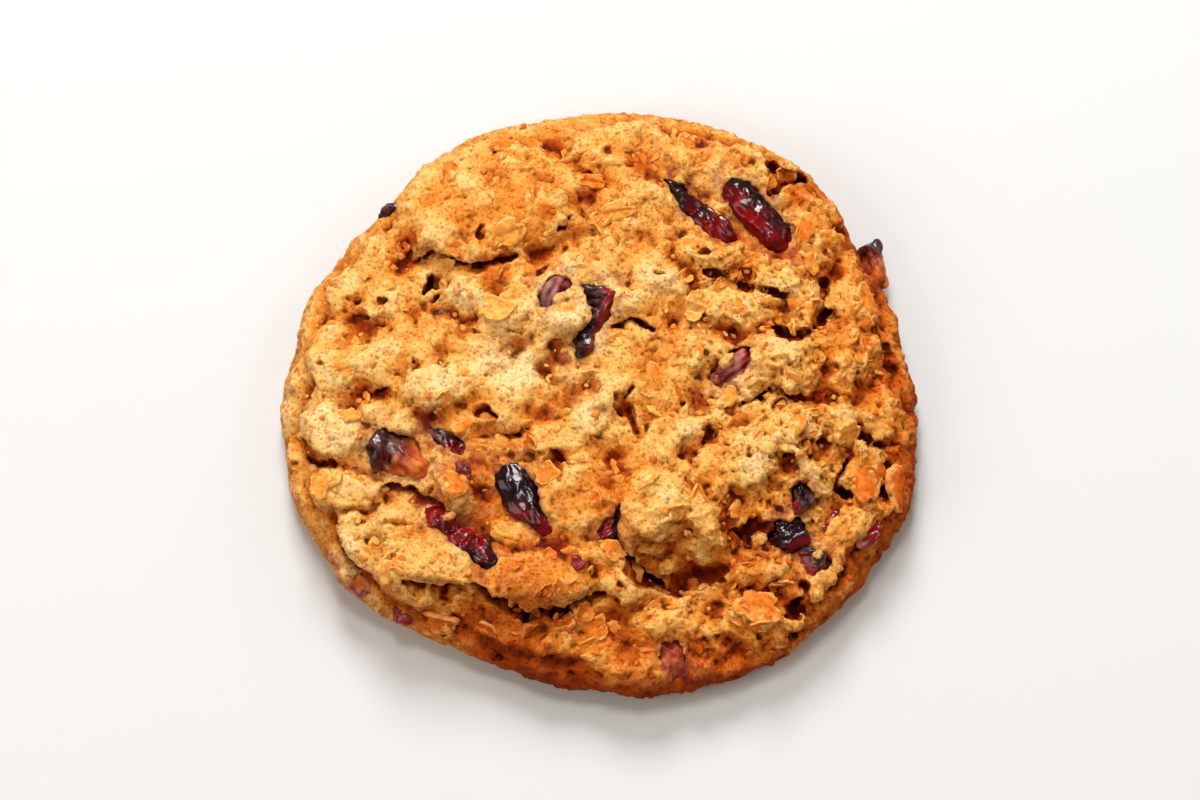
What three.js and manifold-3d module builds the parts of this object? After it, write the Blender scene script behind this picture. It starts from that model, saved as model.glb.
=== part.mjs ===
// A thick round oatmeal cookie with dried cranberries, about 80 mm across.
// The dough is one closed solid: a low pat with an uneven rim, mounds of dough on its top, the cracks
// and pits between them, and the rolled oats that stand proud, all fused. Each dried fruit of berry
// size is a solid of its own that sits in a pocket of the dough.
// Units are millimetres. +Z is up, the origin is on the flat underside below the middle of the pat.
import * as THREE from "three";
import { mergeVertices } from "three/addons/utils/BufferGeometryUtils.js";
import Module from "manifold-3d";

// ---------- the pat ----------
const CROWN = 11.6; // height of the bare pat at its middle
const BELLY = 3.6; // height at which the rim is widest
const FOOT = 0.93; // share of the rim's radius that lies flat on the tray
const SHOULDER_POWER = 2.7; // how late the top turns down towards the rim
const SHOULDER_ROUND = 0.55; // how round that turn is
const RIM_STEP = 10; // degrees between the radii below
const RIM_RADII = [
  39.5, 39, 39, 38.5, 39.5, 40, 39, 38.5, 37.5, 37, 37, 37.5,
  38, 37.5, 37.5, 38.5, 39.5, 39, 40, 40, 40, 39.5, 39, 37.5,
  36, 35.5, 36.5, 37, 38, 38.5, 39.5, 39.5, 40, 40, 41, 40.5,
];

// ---------- relief ----------
// Mounds of dough: x, y, length, width, turn in degrees, rise above the pat.
const MOUND_ROUND = 0.42; // below one half, so a mound has a flatter top and steeper sides than a ball
const MOUNDS = [
  [-14, 25.5, 19, 14, 8, 2.2], [-18.5, 21.5, 9, 8, 0, 2.4], [-7, 23, 8.5, 7, -20, 2.4],
  [3, 30.5, 13, 9, 0, 1.6], [12.5, 28.5, 9, 8, -30, 2], [26, 24.5, 11, 8, -50, 1.8],
  [21, 31.5, 8, 5, -25, 1.4], [-25, 27, 8, 6, 50, 1], [-27.5, 19, 6, 5, 20, 1.4],
  [-31, 14, 9, 7, 40, 1.2], [-26, 12.5, 8, 6, -30, 1.4], [-33, 6, 9, 8, 10, 1.5],
  [-25.5, 5.5, 9, 6, -15, 1.3], [-34.5, -4.4, 8, 6.5, -10, 2.2], [-31, -12, 8.5, 6, 0, 2],
  [-19, 0.6, 12, 4.6, 8, 2.2], [-10.5, -0.6, 9.5, 8.5, 0, 1.8], [-13, 9.5, 7, 4, -15, 1.2],
  [-5, 7.8, 5, 3.4, 15, 2], [-1, 16.6, 17, 3.6, 14, 1.8], [-4, 13.5, 8, 6, 20, 1.6],
  [13, 19, 8, 4, -35, 1.2], [16.5, 11.8, 9, 4, -12, 1.8], [25.5, 16, 8, 6, 70, 2],
  [33, 10.5, 8, 6, -60, 1.8], [30.5, 4.5, 9, 7, -70, 1.8], [22, 4.6, 10, 6.5, -12, 2.2],
  [13, 5, 6, 5, 0, 1], [34.5, -2, 7, 5, -80, 1.6], [27, -3.2, 9, 4, 10, 1.4],
  [21, -6.5, 9, 5.5, 25, 2], [16, -9.5, 11, 6.5, 25, 2], [26.5, -9.5, 8, 5, 15, 1.2],
  [8, -6.6, 12, 3.8, 35, 1.5], [9.5, -15.8, 13.5, 12, -10, 3], [-2.5, -12.8, 9, 8, 0, 1.6],
  [-20.5, -21.5, 13, 11, 10, 2.8], [-8.5, -23.8, 13, 8.5, -5, 2.6], [-30, -19.5, 9, 8, -60, 1.4],
  [2, -24, 9, 5, -15, 1], [10, -28, 10, 5, -10, 1], [19.5, -26, 7, 5, -15, 1.6],
  [28, -24, 8, 6, 45, 1.2], [36, -12, 7, 4, 85, 1.2], [16.5, 2.6, 7, 5, 40, 1.2],
  [-18, -13, 4.5, 4, -60, 2], [-20, -28.2, 7, 3.6, 5, 1.2], [17, -22.3, 7, 4, -10, 1.4],
  [31, -17.6, 6, 5, 50, 1.4],
];
// Cracks and creases: depth, half width, then the points they run through.
const CREASE_LEAST = 1.05; // the narrowest half width that the facets can follow
const CREASES = [
  [1.8, 0.8, [-24.5, 18], [-22.5, 17], [-20, 17.4], [-17, 16.6], [-14, 16], [-8.5, 16.8]],
  [0.9, 0.5, [-10.5, 14.4], [-6, 16], [-1.2, 18.9]],
  [0.8, 0.5, [-35, 9.3], [-32, 11], [-27, 8.5], [-23, 6.8]],
  [1.2, 0.7, [-37, -8], [-34.5, -8.9], [-31, -8]],
  [2.2, 1, [-27, -12.4], [-24.5, -13.8], [-20, -14.3]],
  [1.9, 0.8, [-24, -27.2], [-17.5, -27.8], [-15.5, -26.4], [-9, -28.8], [-1, -27.2], [1.5, -25.5]],
  [1.5, 0.8, [3, -15.5], [2.4, -18.5], [4, -21.5], [9.5, -24.7], [13, -25], [15.5, -23.8]],
  [1.5, 0.6, [13, 15], [18, 13], [20, 12.6], [24.3, 11.5]],
  [1.6, 0.8, [15.5, -1.8], [19, -0.6], [22, 0], [28, -1], [29.5, -2.8]],
  [1.6, 0.9, [28, 14.8], [28.4, 12], [28, 9], [26, 7], [23, 7.4]],
  [1.1, 0.5, [11.6, -9.8], [12.5, -7.5], [14, -4.5]],
  [1.5, 0.7, [30.6, -12.6], [30.2, -10.8], [31, -8.8]],
  [1, 0.5, [35.4, -14], [35.3, -11], [36.2, -8.8]],
  [1.8, 0.8, [32.6, -4.8], [35, -6.3], [36.8, -6.4]],
  [1.6, 0.8, [5, -6], [4.3, -4], [3.2, -2], [4.4, -0.3]],
  [1.8, 0.6, [2.4, 7.8], [5, 8.1], [7, 7.2]],
  [2, 0.8, [22, 29.8], [22.4, 27.6], [24.8, 28.4]],
  [1.6, 0.8, [24.8, -24], [24.4, -27.5], [25.2, -30]],
  [1, 0.5, [-25, -20.6], [-25.9, -22], [-26.4, -23.4]],
  [1, 0.7, [-16, -5.4], [-11, -6.4], [-7, -5]],
  [0.9, 0.6, [-10.5, -9.2], [-6.8, -7.8], [-3.5, -9.6]],
];
// Open pits: x, y, diameter, depth.
const PITS = [
  [-21.4, 14.4, 3.4, 2.8], [-20.4, 12.9, 1.8, 1.6], [-13.7, -2.9, 2.6, 2.8], [-22.2, 3.1, 2.2, 1.6],
  [-24.3, 1.5, 1.8, 1.4], [-27.2, 0.5, 2, 1.2], [-31.2, 12.8, 2.2, 1.4], [-27.4, 11.3, 1.8, 1.4],
  [-31.4, -2, 2, 1.6], [17.9, -18, 3.8, 2.6], [19.8, -16.2, 2, 1.8], [13, 33, 2.2, 1.6],
  [13, -25, 2.2, 1.4], [-17.8, -29.4, 2, 1.4], [-3.6, -30.2, 2, 1.2], [23.9, -28.4, 2.8, 2],
  [9.4, -0.8, 1.8, 1.2], [3.8, -2.4, 2.6, 2],
];
const KNOB_COUNT = 150; // small lumps of crumb, spread evenly over the top
const KNOB_WIDTH = [2.6, 4.6];
const KNOB_RISE = [0.35, 0.95];
const WAVE = { reach: 0.55, pitch: 5.5 }; // slow unevenness of the whole skin
const GRAIN = { reach: 0.28, pitch: 2.4 }; // crumb that the facets can just hold
const SIDE_WAVE = { reach: 0.55, pitch: 4.5 }; // the same two on the side wall
const SIDE_GRAIN = { reach: 0.3, pitch: 2.4 };

// ---------- rolled oats that stand proud ----------
const OAT_THICK = 1.1;
const OAT_SIDES = [7, 3]; // facets round and through
// x, y, length, width, turn in degrees, tilt in degrees
const OATS = [
  [-11.8, 19.8, 5.4, 3.6, 25, 22], [-13.6, 17.2, 4, 2, 10, 12], [1.4, 23, 6.4, 2.6, 5, 24],
  [-1, 27.4, 4, 2, -5, 10], [-8.5, 33, 3.4, 2, -60, 8], [-12, 32.6, 3.6, 2, 20, 8],
  [-13, 10, 5.6, 3.2, -15, 10], [6.2, 1.2, 6.6, 3.8, -56, 14], [33.3, -10.2, 7.2, 4, 82, 12],
  [37, -11.4, 6, 3, 84, 20], [-31, -3.3, 2.6, 2.2, 30, 14], [-32, 2.6, 3.4, 2.4, 15, 12],
  [-18, -12.8, 3.6, 3, -65, 26], [-11.6, -18.8, 3.8, 2, -20, 12], [-6.6, -11, 3.4, 3, -40, 12],
  [19.4, -27.2, 6.4, 4.4, -15, 8], [21.6, -24.6, 2.8, 2.4, 0, 12], [-4.4, -28.8, 3.4, 2.8, -70, 10],
  [-0.6, -29.6, 3.6, 3, 30, 8], [-20, -28.2, 6, 3, 5, 10], [16.6, -18.6, 3.8, 2, -30, 16],
  [25.6, 20.8, 4, 2.2, 80, 18], [29.4, -17.6, 5, 2.8, 55, 14], [11.6, 10.2, 3.4, 2.4, -15, 12],
  [-34.6, -12, 4.4, 3, 75, 16], [26.2, 10.2, 3, 2, 70, 16], [-10.6, 12.2, 3.6, 2.4, 20, 12],
  [1.6, -20.6, 3.4, 2.4, -35, 10], [33.5, 12, 4.6, 3, -50, 10], [30.8, -5.4, 4, 3, 15, 12],
];
const SPREAD_OATS = 22; // further small flakes, spread evenly
const SPREAD_OAT_LENGTH = [2.8, 4.4];

// ---------- dried cranberries ----------
const FRUIT_GAP = 0.35; // clearance between a fruit and its pocket
const FRUIT_SIDES = [10, 6]; // facets round and along
// name, x, y, length, width, thickness, turn, taper, bend, how far it stands above the pat
const FRUIT = [
  ["cranberry_01", 12, 23.3, 12, 4.4, 4, -47, -0.45, 0.5, 1.6],
  ["cranberry_02", 20, 23, 12.6, 4.6, 4.4, -54, 0.05, 0.2, 2.4],
  ["cranberry_03", 34.3, 18.3, 6.4, 3, 4.4, -70, 0, 0, 1.2],
  ["cranberry_04", -6.2, 12.8, 5.2, 2.6, 3, 62, 0, 0.3, 2],
  ["cranberry_05", -0.4, 9.6, 9.6, 3.2, 3.6, 68, 0.3, -1.1, 1.6],
  ["cranberry_06", 16.4, 2.9, 6.4, 3.6, 3.6, 40, 0, 0.2, 2.2],
  ["cranberry_07", -25, -7.8, 8.2, 6.4, 5, -35, -0.1, 0.3, 2.4],
  ["cranberry_08", -19, -6.5, 6.4, 2.8, 3, -30, 0, -0.3, 0.8],
  ["cranberry_09", -9.2, -14, 9.6, 5.2, 5, -62, -0.3, 0.3, 2.4],
  ["cranberry_10", -16.9, -19.2, 11.6, 3.2, 3.6, -42, 0.15, -0.3, 2.8],
  ["cranberry_11", 0.5, -18.2, 4.6, 3, 3, 35, 0, 0, 0.6],
  ["cranberry_12", 25, -13.2, 3.6, 2.6, 3, -60, 0, 0, 1.6],
  ["cranberry_13", 22.8, -18, 6, 4, 4.4, 22, 0.1, 0.2, 2.2],
  ["cranberry_14", 26.6, -21.4, 3.8, 2.8, 3, 10, 0, 0, 1.4],
  ["cranberry_15", 9, -32.6, 6.2, 4.2, 3.6, -60, 0, 0.2, 1.2],
  ["cranberry_16", -30.4, -23.4, 6.4, 3, 3.4, -42, 0, 0.3, 0.9],
];
// Scraps of fruit smaller than a berry, fused to the dough: x, y, length, width, turn.
const SCRAPS = [
  [-19.3, 10, 2.4, 2, 20], [-17.4, -10.4, 3.4, 1.6, -30], [-2.5, -22.3, 2, 1.6, -40],
  [28.4, -15.6, 2.6, 1.5, 50], [33, -18, 4, 2, 55], [-24.6, -27.6, 2.8, 1.6, -36],
  [-26.6, 24.6, 2.6, 1.6, 45],
];

// ---------- facets ----------
const FACET = 1.5; // length of a facet's side on the top
const SLIVER = 0.05; // facets thinner than this are merged into their neighbours
const UNDERSIDE_COUNTS = [96, 36, 12]; // points in the flat underside's rings

const rad = THREE.MathUtils.degToRad;
const lerp = THREE.MathUtils.lerp;
const smooth = (t) => THREE.MathUtils.smoothstep(t, 0, 1);

// A repeatable number from 0 to 1 for any whole numbers.
function hash(...cells) {
  const mixed = cells.reduce((sum, cell, i) => sum + cell * [127.1, 311.7, 74.7, 53.3][i], 0);
  const wave = Math.sin(mixed) * 43758.5453;
  return wave - Math.floor(wave);
}

// Smooth noise from -1 to 1 in space.
function noise(x, y, z) {
  const cell = [x, y, z].map(Math.floor);
  const part = [x, y, z].map((v, i) => smooth(v - cell[i]));
  let sum = 0;
  for (let corner = 0; corner < 8; corner++) {
    const step = [corner & 1, (corner >> 1) & 1, corner >> 2];
    const weight = step.reduce((w, s, i) => w * (s ? part[i] : 1 - part[i]), 1);
    sum += weight * hash(...cell.map((v, i) => v + step[i]));
  }
  return 2 * sum - 1;
}

// The rim's radius at an angle, on a smooth closed curve through the listed radii.
function rimRadius(angle) {
  const at = (THREE.MathUtils.euclideanModulo(angle, 2 * Math.PI) / rad(RIM_STEP));
  const i = Math.floor(at);
  const t = at - i;
  const [a, b, c, d] = [-1, 0, 1, 2].map((k) => RIM_RADII[(i + k + RIM_RADII.length) % RIM_RADII.length]);
  return b + 0.5 * t * (c - a + t * (2 * a - 5 * b + 4 * c - d + t * (3 * (b - c) + d - a)));
}

// Height of the bare pat's top at a share of the rim's radius.
function patHeight(share) {
  const fall = 1 - Math.min(1, share) ** SHOULDER_POWER;
  return BELLY + (CROWN - BELLY) * fall ** SHOULDER_ROUND;
}

const shareAt = (x, y) => Math.hypot(x, y) / rimRadius(Math.atan2(y, x));

// Places that cover the top evenly: a sunflower spiral, shaken a little.
function spread(count, reach, seed) {
  return Array.from({ length: count }, (_, i) => {
    const angle = i * Math.PI * (3 - Math.sqrt(5)) + seed;
    const share = reach * Math.sqrt((i + 0.5) / count) + 0.03 * (hash(i, seed) - 0.5);
    const r = share * rimRadius(angle);
    return { x: r * Math.cos(angle), y: r * Math.sin(angle), pick: (k) => hash(i, seed, k) };
  });
}

const KNOBS = spread(KNOB_COUNT, 0.95, 5).map(({ x, y, pick }) => {
  const width = lerp(...KNOB_WIDTH, pick(1));
  return [x, y, width * lerp(1, 1.5, pick(2)), width, 180 * pick(3), lerp(...KNOB_RISE, pick(4))];
});

// Rise of one mound at a place: the upper half of an ellipsoid that stands on the pat.
function moundRise([mx, my, length, width, turn, rise], x, y) {
  const c = Math.cos(rad(turn));
  const s = Math.sin(rad(turn));
  const along = ((x - mx) * c + (y - my) * s) / (length / 2);
  const across = ((y - my) * c - (x - mx) * s) / (width / 2);
  const inside = 1 - along * along - across * across;
  return inside > 0 ? rise * inside ** MOUND_ROUND : 0;
}

// Distance from a place to a run of straight stretches.
function distanceToRun(points, x, y) {
  const here = new THREE.Vector3(x, y, 0);
  const near = new THREE.Vector3();
  return Math.min(...points.slice(1).map((end, i) => {
    const line = new THREE.Line3(new THREE.Vector3(...points[i], 0), new THREE.Vector3(...end, 0));
    return line.closestPointToPoint(here, true, near).distanceTo(here);
  }));
}

// How far the finished top stands above the bare pat at a place.
function relief(x, y) {
  const wx = x + 1.1 * noise(x / 5, y / 5, 3);
  const wy = y + 1.1 * noise(x / 5, y / 5, 9);
  const mound = Math.max(...MOUNDS.map((m) => moundRise(m, wx, wy)));
  const knob = Math.max(...KNOBS.map((k) => moundRise(k, wx, wy)));
  let h = mound + 0.7 * knob;
  h += WAVE.reach * noise(x / WAVE.pitch, y / WAVE.pitch, 1);
  h += GRAIN.reach * noise(x / GRAIN.pitch, y / GRAIN.pitch, 7);
  for (const [depth, half, ...points] of CREASES) {
    const d = distanceToRun(points, wx, wy) / Math.max(half, CREASE_LEAST);
    if (d < 2.5) h -= depth * Math.exp(-d * d);
  }
  for (const [px, py, diameter, depth] of PITS) {
    const d = Math.hypot(x - px, y - py) / (diameter / 2);
    if (d < 1.6) h -= depth * (1 - smooth(d / 1.6));
  }
  return h;
}

// Height of the finished top at a place. The relief dies out at the rim.
function topHeight(x, y) {
  const share = shareAt(x, y);
  return patHeight(share) + relief(x, y) * (1 - smooth((share - 0.86) / 0.14));
}

// How far the side wall stands out from the smooth rim at a place. It dies out on the top and the tray.
function sideRelief(x, y, z, share) {
  const fade = smooth((share - 0.9) / 0.08) * smooth(z / 0.8 + 0.15);
  const wave = noise(x / SIDE_WAVE.pitch, y / SIDE_WAVE.pitch, z / SIDE_WAVE.pitch + 40);
  const grain = noise(x / SIDE_GRAIN.pitch, y / SIDE_GRAIN.pitch, z / SIDE_GRAIN.pitch + 80);
  return fade * (SIDE_WAVE.reach * wave + SIDE_GRAIN.reach * grain);
}

// The section of half a pat, as shares of the radius and heights, from the crown to the tray.
function sectionPoints() {
  const points = [];
  const steps = 400;
  for (let i = 0; i <= steps; i++) {
    const share = Math.sin((i / steps) * Math.PI / 2);
    points.push(new THREE.Vector2(share, patHeight(share)));
  }
  for (let i = 1; i <= 40; i++) {
    const turn = (i / 40) * Math.PI / 2;
    points.push(new THREE.Vector2(FOOT + (1 - FOOT) * Math.cos(turn), BELLY * (1 - Math.sin(turn))));
  }
  return points;
}

// Points of the section a facet apart, measured at the mean radius.
function evenSection() {
  const mean = RIM_RADII.reduce((a, b) => a + b) / RIM_RADII.length;
  const points = sectionPoints();
  const even = [points[0]];
  let run = 0;
  for (let i = 1; i < points.length; i++) {
    const dx = (points[i].x - points[i - 1].x) * mean;
    run += Math.hypot(dx, points[i].y - points[i - 1].y);
    if (run >= FACET) {
      even.push(points[i]);
      run = 0;
    }
  }
  even.push(points.at(-1));
  return { even, mean };
}

// Joins two rings of points of different counts with a band of triangles.
function stitch(inner, outer, triangles) {
  let i = 0;
  let j = 0;
  while (i < inner.count || j < outer.count) {
    const a = inner.start + (i % inner.count);
    const b = outer.start + (j % outer.count);
    const outerFirst = (j + 1) / outer.count <= (i + 1) / inner.count;
    if (j < outer.count && (outerFirst || i >= inner.count)) {
      triangles.push(a, b, outer.start + ((j + 1) % outer.count));
      j++;
    } else {
      triangles.push(a, b, inner.start + ((i + 1) % inner.count));
      i++;
    }
  }
}

// The dough before the oats and the fruit: rings of points from the crown, over the rim, to the tray.
function doughGeometry() {
  const { even, mean } = evenSection();
  const places = [];
  const rings = [];
  const triangles = [];
  const addRing = (share, height, count, onTop) => {
    rings.push({ start: places.length / 3, count });
    for (let k = 0; k < count; k++) {
      const angle = (2 * Math.PI * k) / count;
      const even = share * rimRadius(angle);
      const r = even + sideRelief(even * Math.cos(angle), even * Math.sin(angle), height, share);
      const x = r * Math.cos(angle);
      const y = r * Math.sin(angle);
      places.push(x, y, onTop ? topHeight(x, y) : height);
    }
  };
  const belly = even.findIndex((p, i) => i > 0 && p.y <= BELLY + 0.2);
  even.forEach((p, i) => {
    const count = Math.max(1, Math.round((2 * Math.PI * p.x * mean) / FACET));
    addRing(p.x, p.y, i === 0 ? 1 : count, i < belly);
  });
  UNDERSIDE_COUNTS.forEach((count, i) => {
    addRing(FOOT * (1 - (i + 1) / (UNDERSIDE_COUNTS.length + 1)), 0, count, false);
  });
  addRing(0, 0, 1, false);
  for (let i = 1; i < rings.length; i++) {
    const [a, b] = [rings[i - 1], rings[i]];
    if (a.count === 1) fan(a, b, triangles, false);
    else if (b.count === 1) fan(b, a, triangles, true);
    else stitch(a, b, triangles);
  }
  return indexed(places, triangles);
}

// Triangles from one middle point to a ring.
function fan(middle, ring, triangles, below) {
  for (let k = 0; k < ring.count; k++) {
    const pair = [ring.start + k, ring.start + ((k + 1) % ring.count)];
    triangles.push(middle.start, ...(below ? pair.reverse() : pair));
  }
}

function indexed(places, triangles) {
  const geometry = new THREE.BufferGeometry();
  geometry.setAttribute("position", new THREE.Float32BufferAttribute(places, 3));
  geometry.setIndex(triangles);
  return geometry;
}

// The direction straight out of the bare pat's top at a place.
function patNormal(x, y) {
  const rise = (dx, dy) => patHeight(shareAt(x + dx, y + dy)) - patHeight(shareAt(x - dx, y - dy));
  return new THREE.Vector3(-rise(0.5, 0), -rise(0, 0.5), 1).normalize();
}

// A matrix that lays a piece on the top: turned, tilted round its own length, leant with the slope of
// the pat, and lifted to a height.
function laid(x, y, z, turn, tilt = 0) {
  const up = new THREE.Vector3(0, 0, 1);
  const lean = new THREE.Quaternion().setFromUnitVectors(up, patNormal(x, y));
  return new THREE.Matrix4().makeTranslation(x, y, z)
    .multiply(new THREE.Matrix4().makeRotationFromQuaternion(lean))
    .multiply(new THREE.Matrix4().makeRotationZ(rad(turn)))
    .multiply(new THREE.Matrix4().makeRotationX(rad(tilt)));
}

// A rolled oat: a thin flat-faced lens.
function oatGeometry(length, width) {
  const oat = new THREE.SphereGeometry(0.5, ...OAT_SIDES);
  oat.rotateX(Math.PI / 2);
  oat.scale(length, width, OAT_THICK);
  return oat;
}

// A dried fruit: a long ellipsoid that narrows to one end, bends and has a shrunken skin.
function fruitGeometry(length, width, thick, taper, bend, seed) {
  const fruit = new THREE.SphereGeometry(0.5, ...FRUIT_SIDES);
  fruit.rotateZ(Math.PI / 2);
  const place = fruit.getAttribute("position");
  for (let i = 0; i < place.count; i++) {
    const [u, v, w] = [place.getX(i) * 2, place.getY(i) * 2, place.getZ(i) * 2];
    const slim = 1 + taper * u;
    const skin = 1 + 0.1 * noise(2.2 * u + seed, 2.2 * v, 2.2 * w);
    place.setXYZ(
      i,
      (u * skin * length) / 2,
      (v * slim * skin * width) / 2 + bend * (1 - 2 * u * u),
      (w * slim * skin * thick) / 2,
    );
  }
  return fruit;
}

const wasm = await Module();
wasm.setup();

function solid(geometry) {
  const bare = geometry.clone();
  bare.deleteAttribute("normal");
  bare.deleteAttribute("uv");
  const merged = mergeVertices(bare, 1e-4);
  return new wasm.Manifold(new wasm.Mesh({
    numProp: 3,
    vertProperties: merged.getAttribute("position").array,
    triVerts: new Uint32Array(merged.index.array),
  }));
}

function geometryOf(manifold) {
  const { vertProperties, triVerts, numProp } = manifold.getMesh();
  const places = [];
  for (let i = 0; i < vertProperties.length; i += numProp) places.push(...vertProperties.slice(i, i + 3));
  const geometry = indexed(places, [...triVerts]);
  geometry.computeVertexNormals();
  return geometry;
}

// The fruit in place, and the pockets that leave a small gap round each.
function fruitPieces() {
  return FRUIT.map(([name, x, y, length, width, thick, turn, taper, bend, proud], i) => {
    const z = patHeight(shareAt(x, y)) + proud - thick / 2;
    const make = (grow) => fruitGeometry(length + grow, width + grow, thick + grow, taper, bend, i)
      .applyMatrix4(laid(x, y, z, turn));
    return { name, geometry: make(0), pocket: solid(make(2 * FRUIT_GAP)) };
  });
}

// All the flakes and scraps that are fused to the dough.
function toppings() {
  const listed = OATS.map(([x, y, length, width, turn, tilt]) => {
    return oatGeometry(length, width).applyMatrix4(laid(x, y, topHeight(x, y) + 0.1, turn, tilt));
  });
  const sown = spread(SPREAD_OATS, 0.86, 11).map(({ x, y, pick }) => {
    const length = lerp(...SPREAD_OAT_LENGTH, pick(1));
    const place = laid(x, y, topHeight(x, y) + 0.1, 360 * pick(2), 22 * pick(3) - 11);
    return oatGeometry(length, 0.7 * length).applyMatrix4(place);
  });
  const scraps = SCRAPS.map(([x, y, length, width, turn], i) => {
    return fruitGeometry(length, width, 1.8, 0, 0, i).applyMatrix4(laid(x, y, topHeight(x, y), turn));
  });
  return [...listed, ...sown, ...scraps].map(solid);
}

const fruit = fruitPieces();
const baked = toppings()
  .reduce((dough, piece) => dough.add(piece), solid(doughGeometry()));
const dough = fruit.reduce((left, piece) => left.subtract(piece.pocket), baked);
const [whole] = dough.simplify(SLIVER).decompose().sort((a, b) => b.volume() - a.volume());

const crust = new THREE.MeshStandardMaterial({ color: 0xd9984f, roughness: 0.85, metalness: 0 });
const fruitSkin = new THREE.MeshStandardMaterial({ color: 0x4a0a12, roughness: 0.3, metalness: 0 });

const cookie = new THREE.Group();
const body = new THREE.Mesh(geometryOf(whole), crust);
body.name = "dough";
cookie.add(body);
for (const { name, geometry } of fruit) {
  const piece = new THREE.Mesh(geometry, fruitSkin);
  piece.name = name;
  cookie.add(piece);
}

export default cookie;
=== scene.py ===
# %% [markdown]
# # An oatmeal cookie with dried cranberries
# A thick drop cookie, 80 mm across: a pat of dough with lumps, cracks and pits on its top, rolled oats
# that stand proud of it, and dark pieces of dried fruit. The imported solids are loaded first. They are
# the frame: every piece made here is in metres and stands where its solid stands.

# %% Load the frame
import math
import random

import bpy
import numpy as np
from mathutils import Euler, Matrix, Vector, noise


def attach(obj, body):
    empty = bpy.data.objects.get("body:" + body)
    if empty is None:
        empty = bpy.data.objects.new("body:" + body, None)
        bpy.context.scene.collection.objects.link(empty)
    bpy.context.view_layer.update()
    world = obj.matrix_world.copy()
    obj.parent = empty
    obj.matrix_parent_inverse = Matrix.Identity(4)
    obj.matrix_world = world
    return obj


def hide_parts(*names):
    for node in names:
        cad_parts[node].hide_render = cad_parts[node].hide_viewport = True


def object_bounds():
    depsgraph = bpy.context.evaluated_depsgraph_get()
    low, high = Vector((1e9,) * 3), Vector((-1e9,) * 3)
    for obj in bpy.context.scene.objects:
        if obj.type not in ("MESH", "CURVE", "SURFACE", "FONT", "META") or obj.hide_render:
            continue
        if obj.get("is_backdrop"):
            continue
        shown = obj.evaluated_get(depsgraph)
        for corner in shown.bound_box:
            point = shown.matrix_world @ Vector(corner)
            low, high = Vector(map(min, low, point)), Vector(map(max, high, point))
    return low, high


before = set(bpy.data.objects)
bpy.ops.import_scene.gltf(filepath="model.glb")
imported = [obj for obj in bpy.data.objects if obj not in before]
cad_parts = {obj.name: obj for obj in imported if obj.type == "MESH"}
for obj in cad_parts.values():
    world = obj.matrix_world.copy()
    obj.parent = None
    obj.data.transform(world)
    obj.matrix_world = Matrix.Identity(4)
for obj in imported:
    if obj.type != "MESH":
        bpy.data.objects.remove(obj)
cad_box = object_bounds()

MM = 0.001
print("solids in the frame:", sorted(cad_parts))
print("their box, mm:", [[round(v / MM, 1) for v in corner] for corner in cad_box])

# %% [markdown]
# ## Camera, floor and light
# The cookie is seen from high up, 75 degrees above the table, through a long lens, so its outline is
# almost that of a plan. A camera that looks from far away with a long lens keeps the rim from bulging.
# The studio is a pale floor in a dim warm room, with one large soft light behind the cookie, a weaker
# one on each side and a small one overhead. The large light comes in low enough to put every lump's
# near side in shade.

# %% Camera
CAMERA_RISE = 75  # degrees above the floor
CAMERA_FAR = 0.9  # metres
LOOK_AT = Vector((0, 0, 0.006))
SENSOR_MM = 36
VIEW_WIDTH = 0.150  # how much of the floor the picture is wide, in metres

rise = math.radians(CAMERA_RISE)
away = Vector((0, -math.cos(rise), math.sin(rise)))
bpy.ops.object.camera_add(location=LOOK_AT + CAMERA_FAR * away)
camera = bpy.context.object
camera.name = "camera"
camera.rotation_euler = away.to_track_quat("Z", "Y").to_euler()
camera.data.sensor_width = SENSOR_MM
camera.data.lens = SENSOR_MM * CAMERA_FAR / VIEW_WIDTH
bpy.context.scene.camera = camera
print("lens, mm:", round(camera.data.lens, 1))

# %% Floor
bpy.ops.mesh.primitive_plane_add(size=6, location=(0, 0, 0))
floor = bpy.context.object
floor.name = "floor"
floor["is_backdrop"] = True
paper = bpy.data.materials.new("pale_paper")
paper.use_nodes = True
paper_shader = paper.node_tree.nodes["Principled BSDF"]
paper_shader.inputs["Base Color"].default_value = (0.68, 0.695, 0.72, 1)
paper_shader.inputs["Roughness"].default_value = 0.7
floor.data.materials.append(paper)
print("floor:", floor.name)

# %% Lights
LIGHT_FAR = 0.9  # metres

def soft_light(name, side, height, size, watts, colour):
    """An area light at a compass side and a height, both in degrees, that faces the cookie."""
    turn, up = math.radians(side), math.radians(height)
    place = LIGHT_FAR * Vector((math.cos(turn) * math.cos(up), math.sin(turn) * math.cos(up), math.sin(up)))
    bpy.ops.object.light_add(type="AREA", location=place)
    light = bpy.context.object
    light.name = name
    light.rotation_euler = place.to_track_quat("Z", "Y").to_euler()
    light.data.shape = "DISK"
    light.data.size = size
    light.data.energy = watts
    light.data.color = colour
    print(name, watts, "W")

soft_light("key light", 96, 42, 0.36, 5.65, (1, 0.985, 0.97))
soft_light("side light", 20, 40, 0.5, 1.0, (0.93, 0.97, 1))
soft_light("fill light", 205, 40, 0.6, 2.0, (1, 0.98, 0.95))
soft_light("top light", 100, 74, 0.24, 1.7, (0.97, 0.985, 1))

world = bpy.data.worlds.new("warm room")
bpy.context.scene.world = world
world.use_nodes = True
room = world.node_tree.nodes["Background"]
room.inputs["Color"].default_value = (1, 0.86, 0.64, 1)
room.inputs["Strength"].default_value = 0.3
bpy.context.scene.view_settings.view_transform = "Standard"
bpy.context.scene.view_settings.look = "Medium High Contrast"

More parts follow.
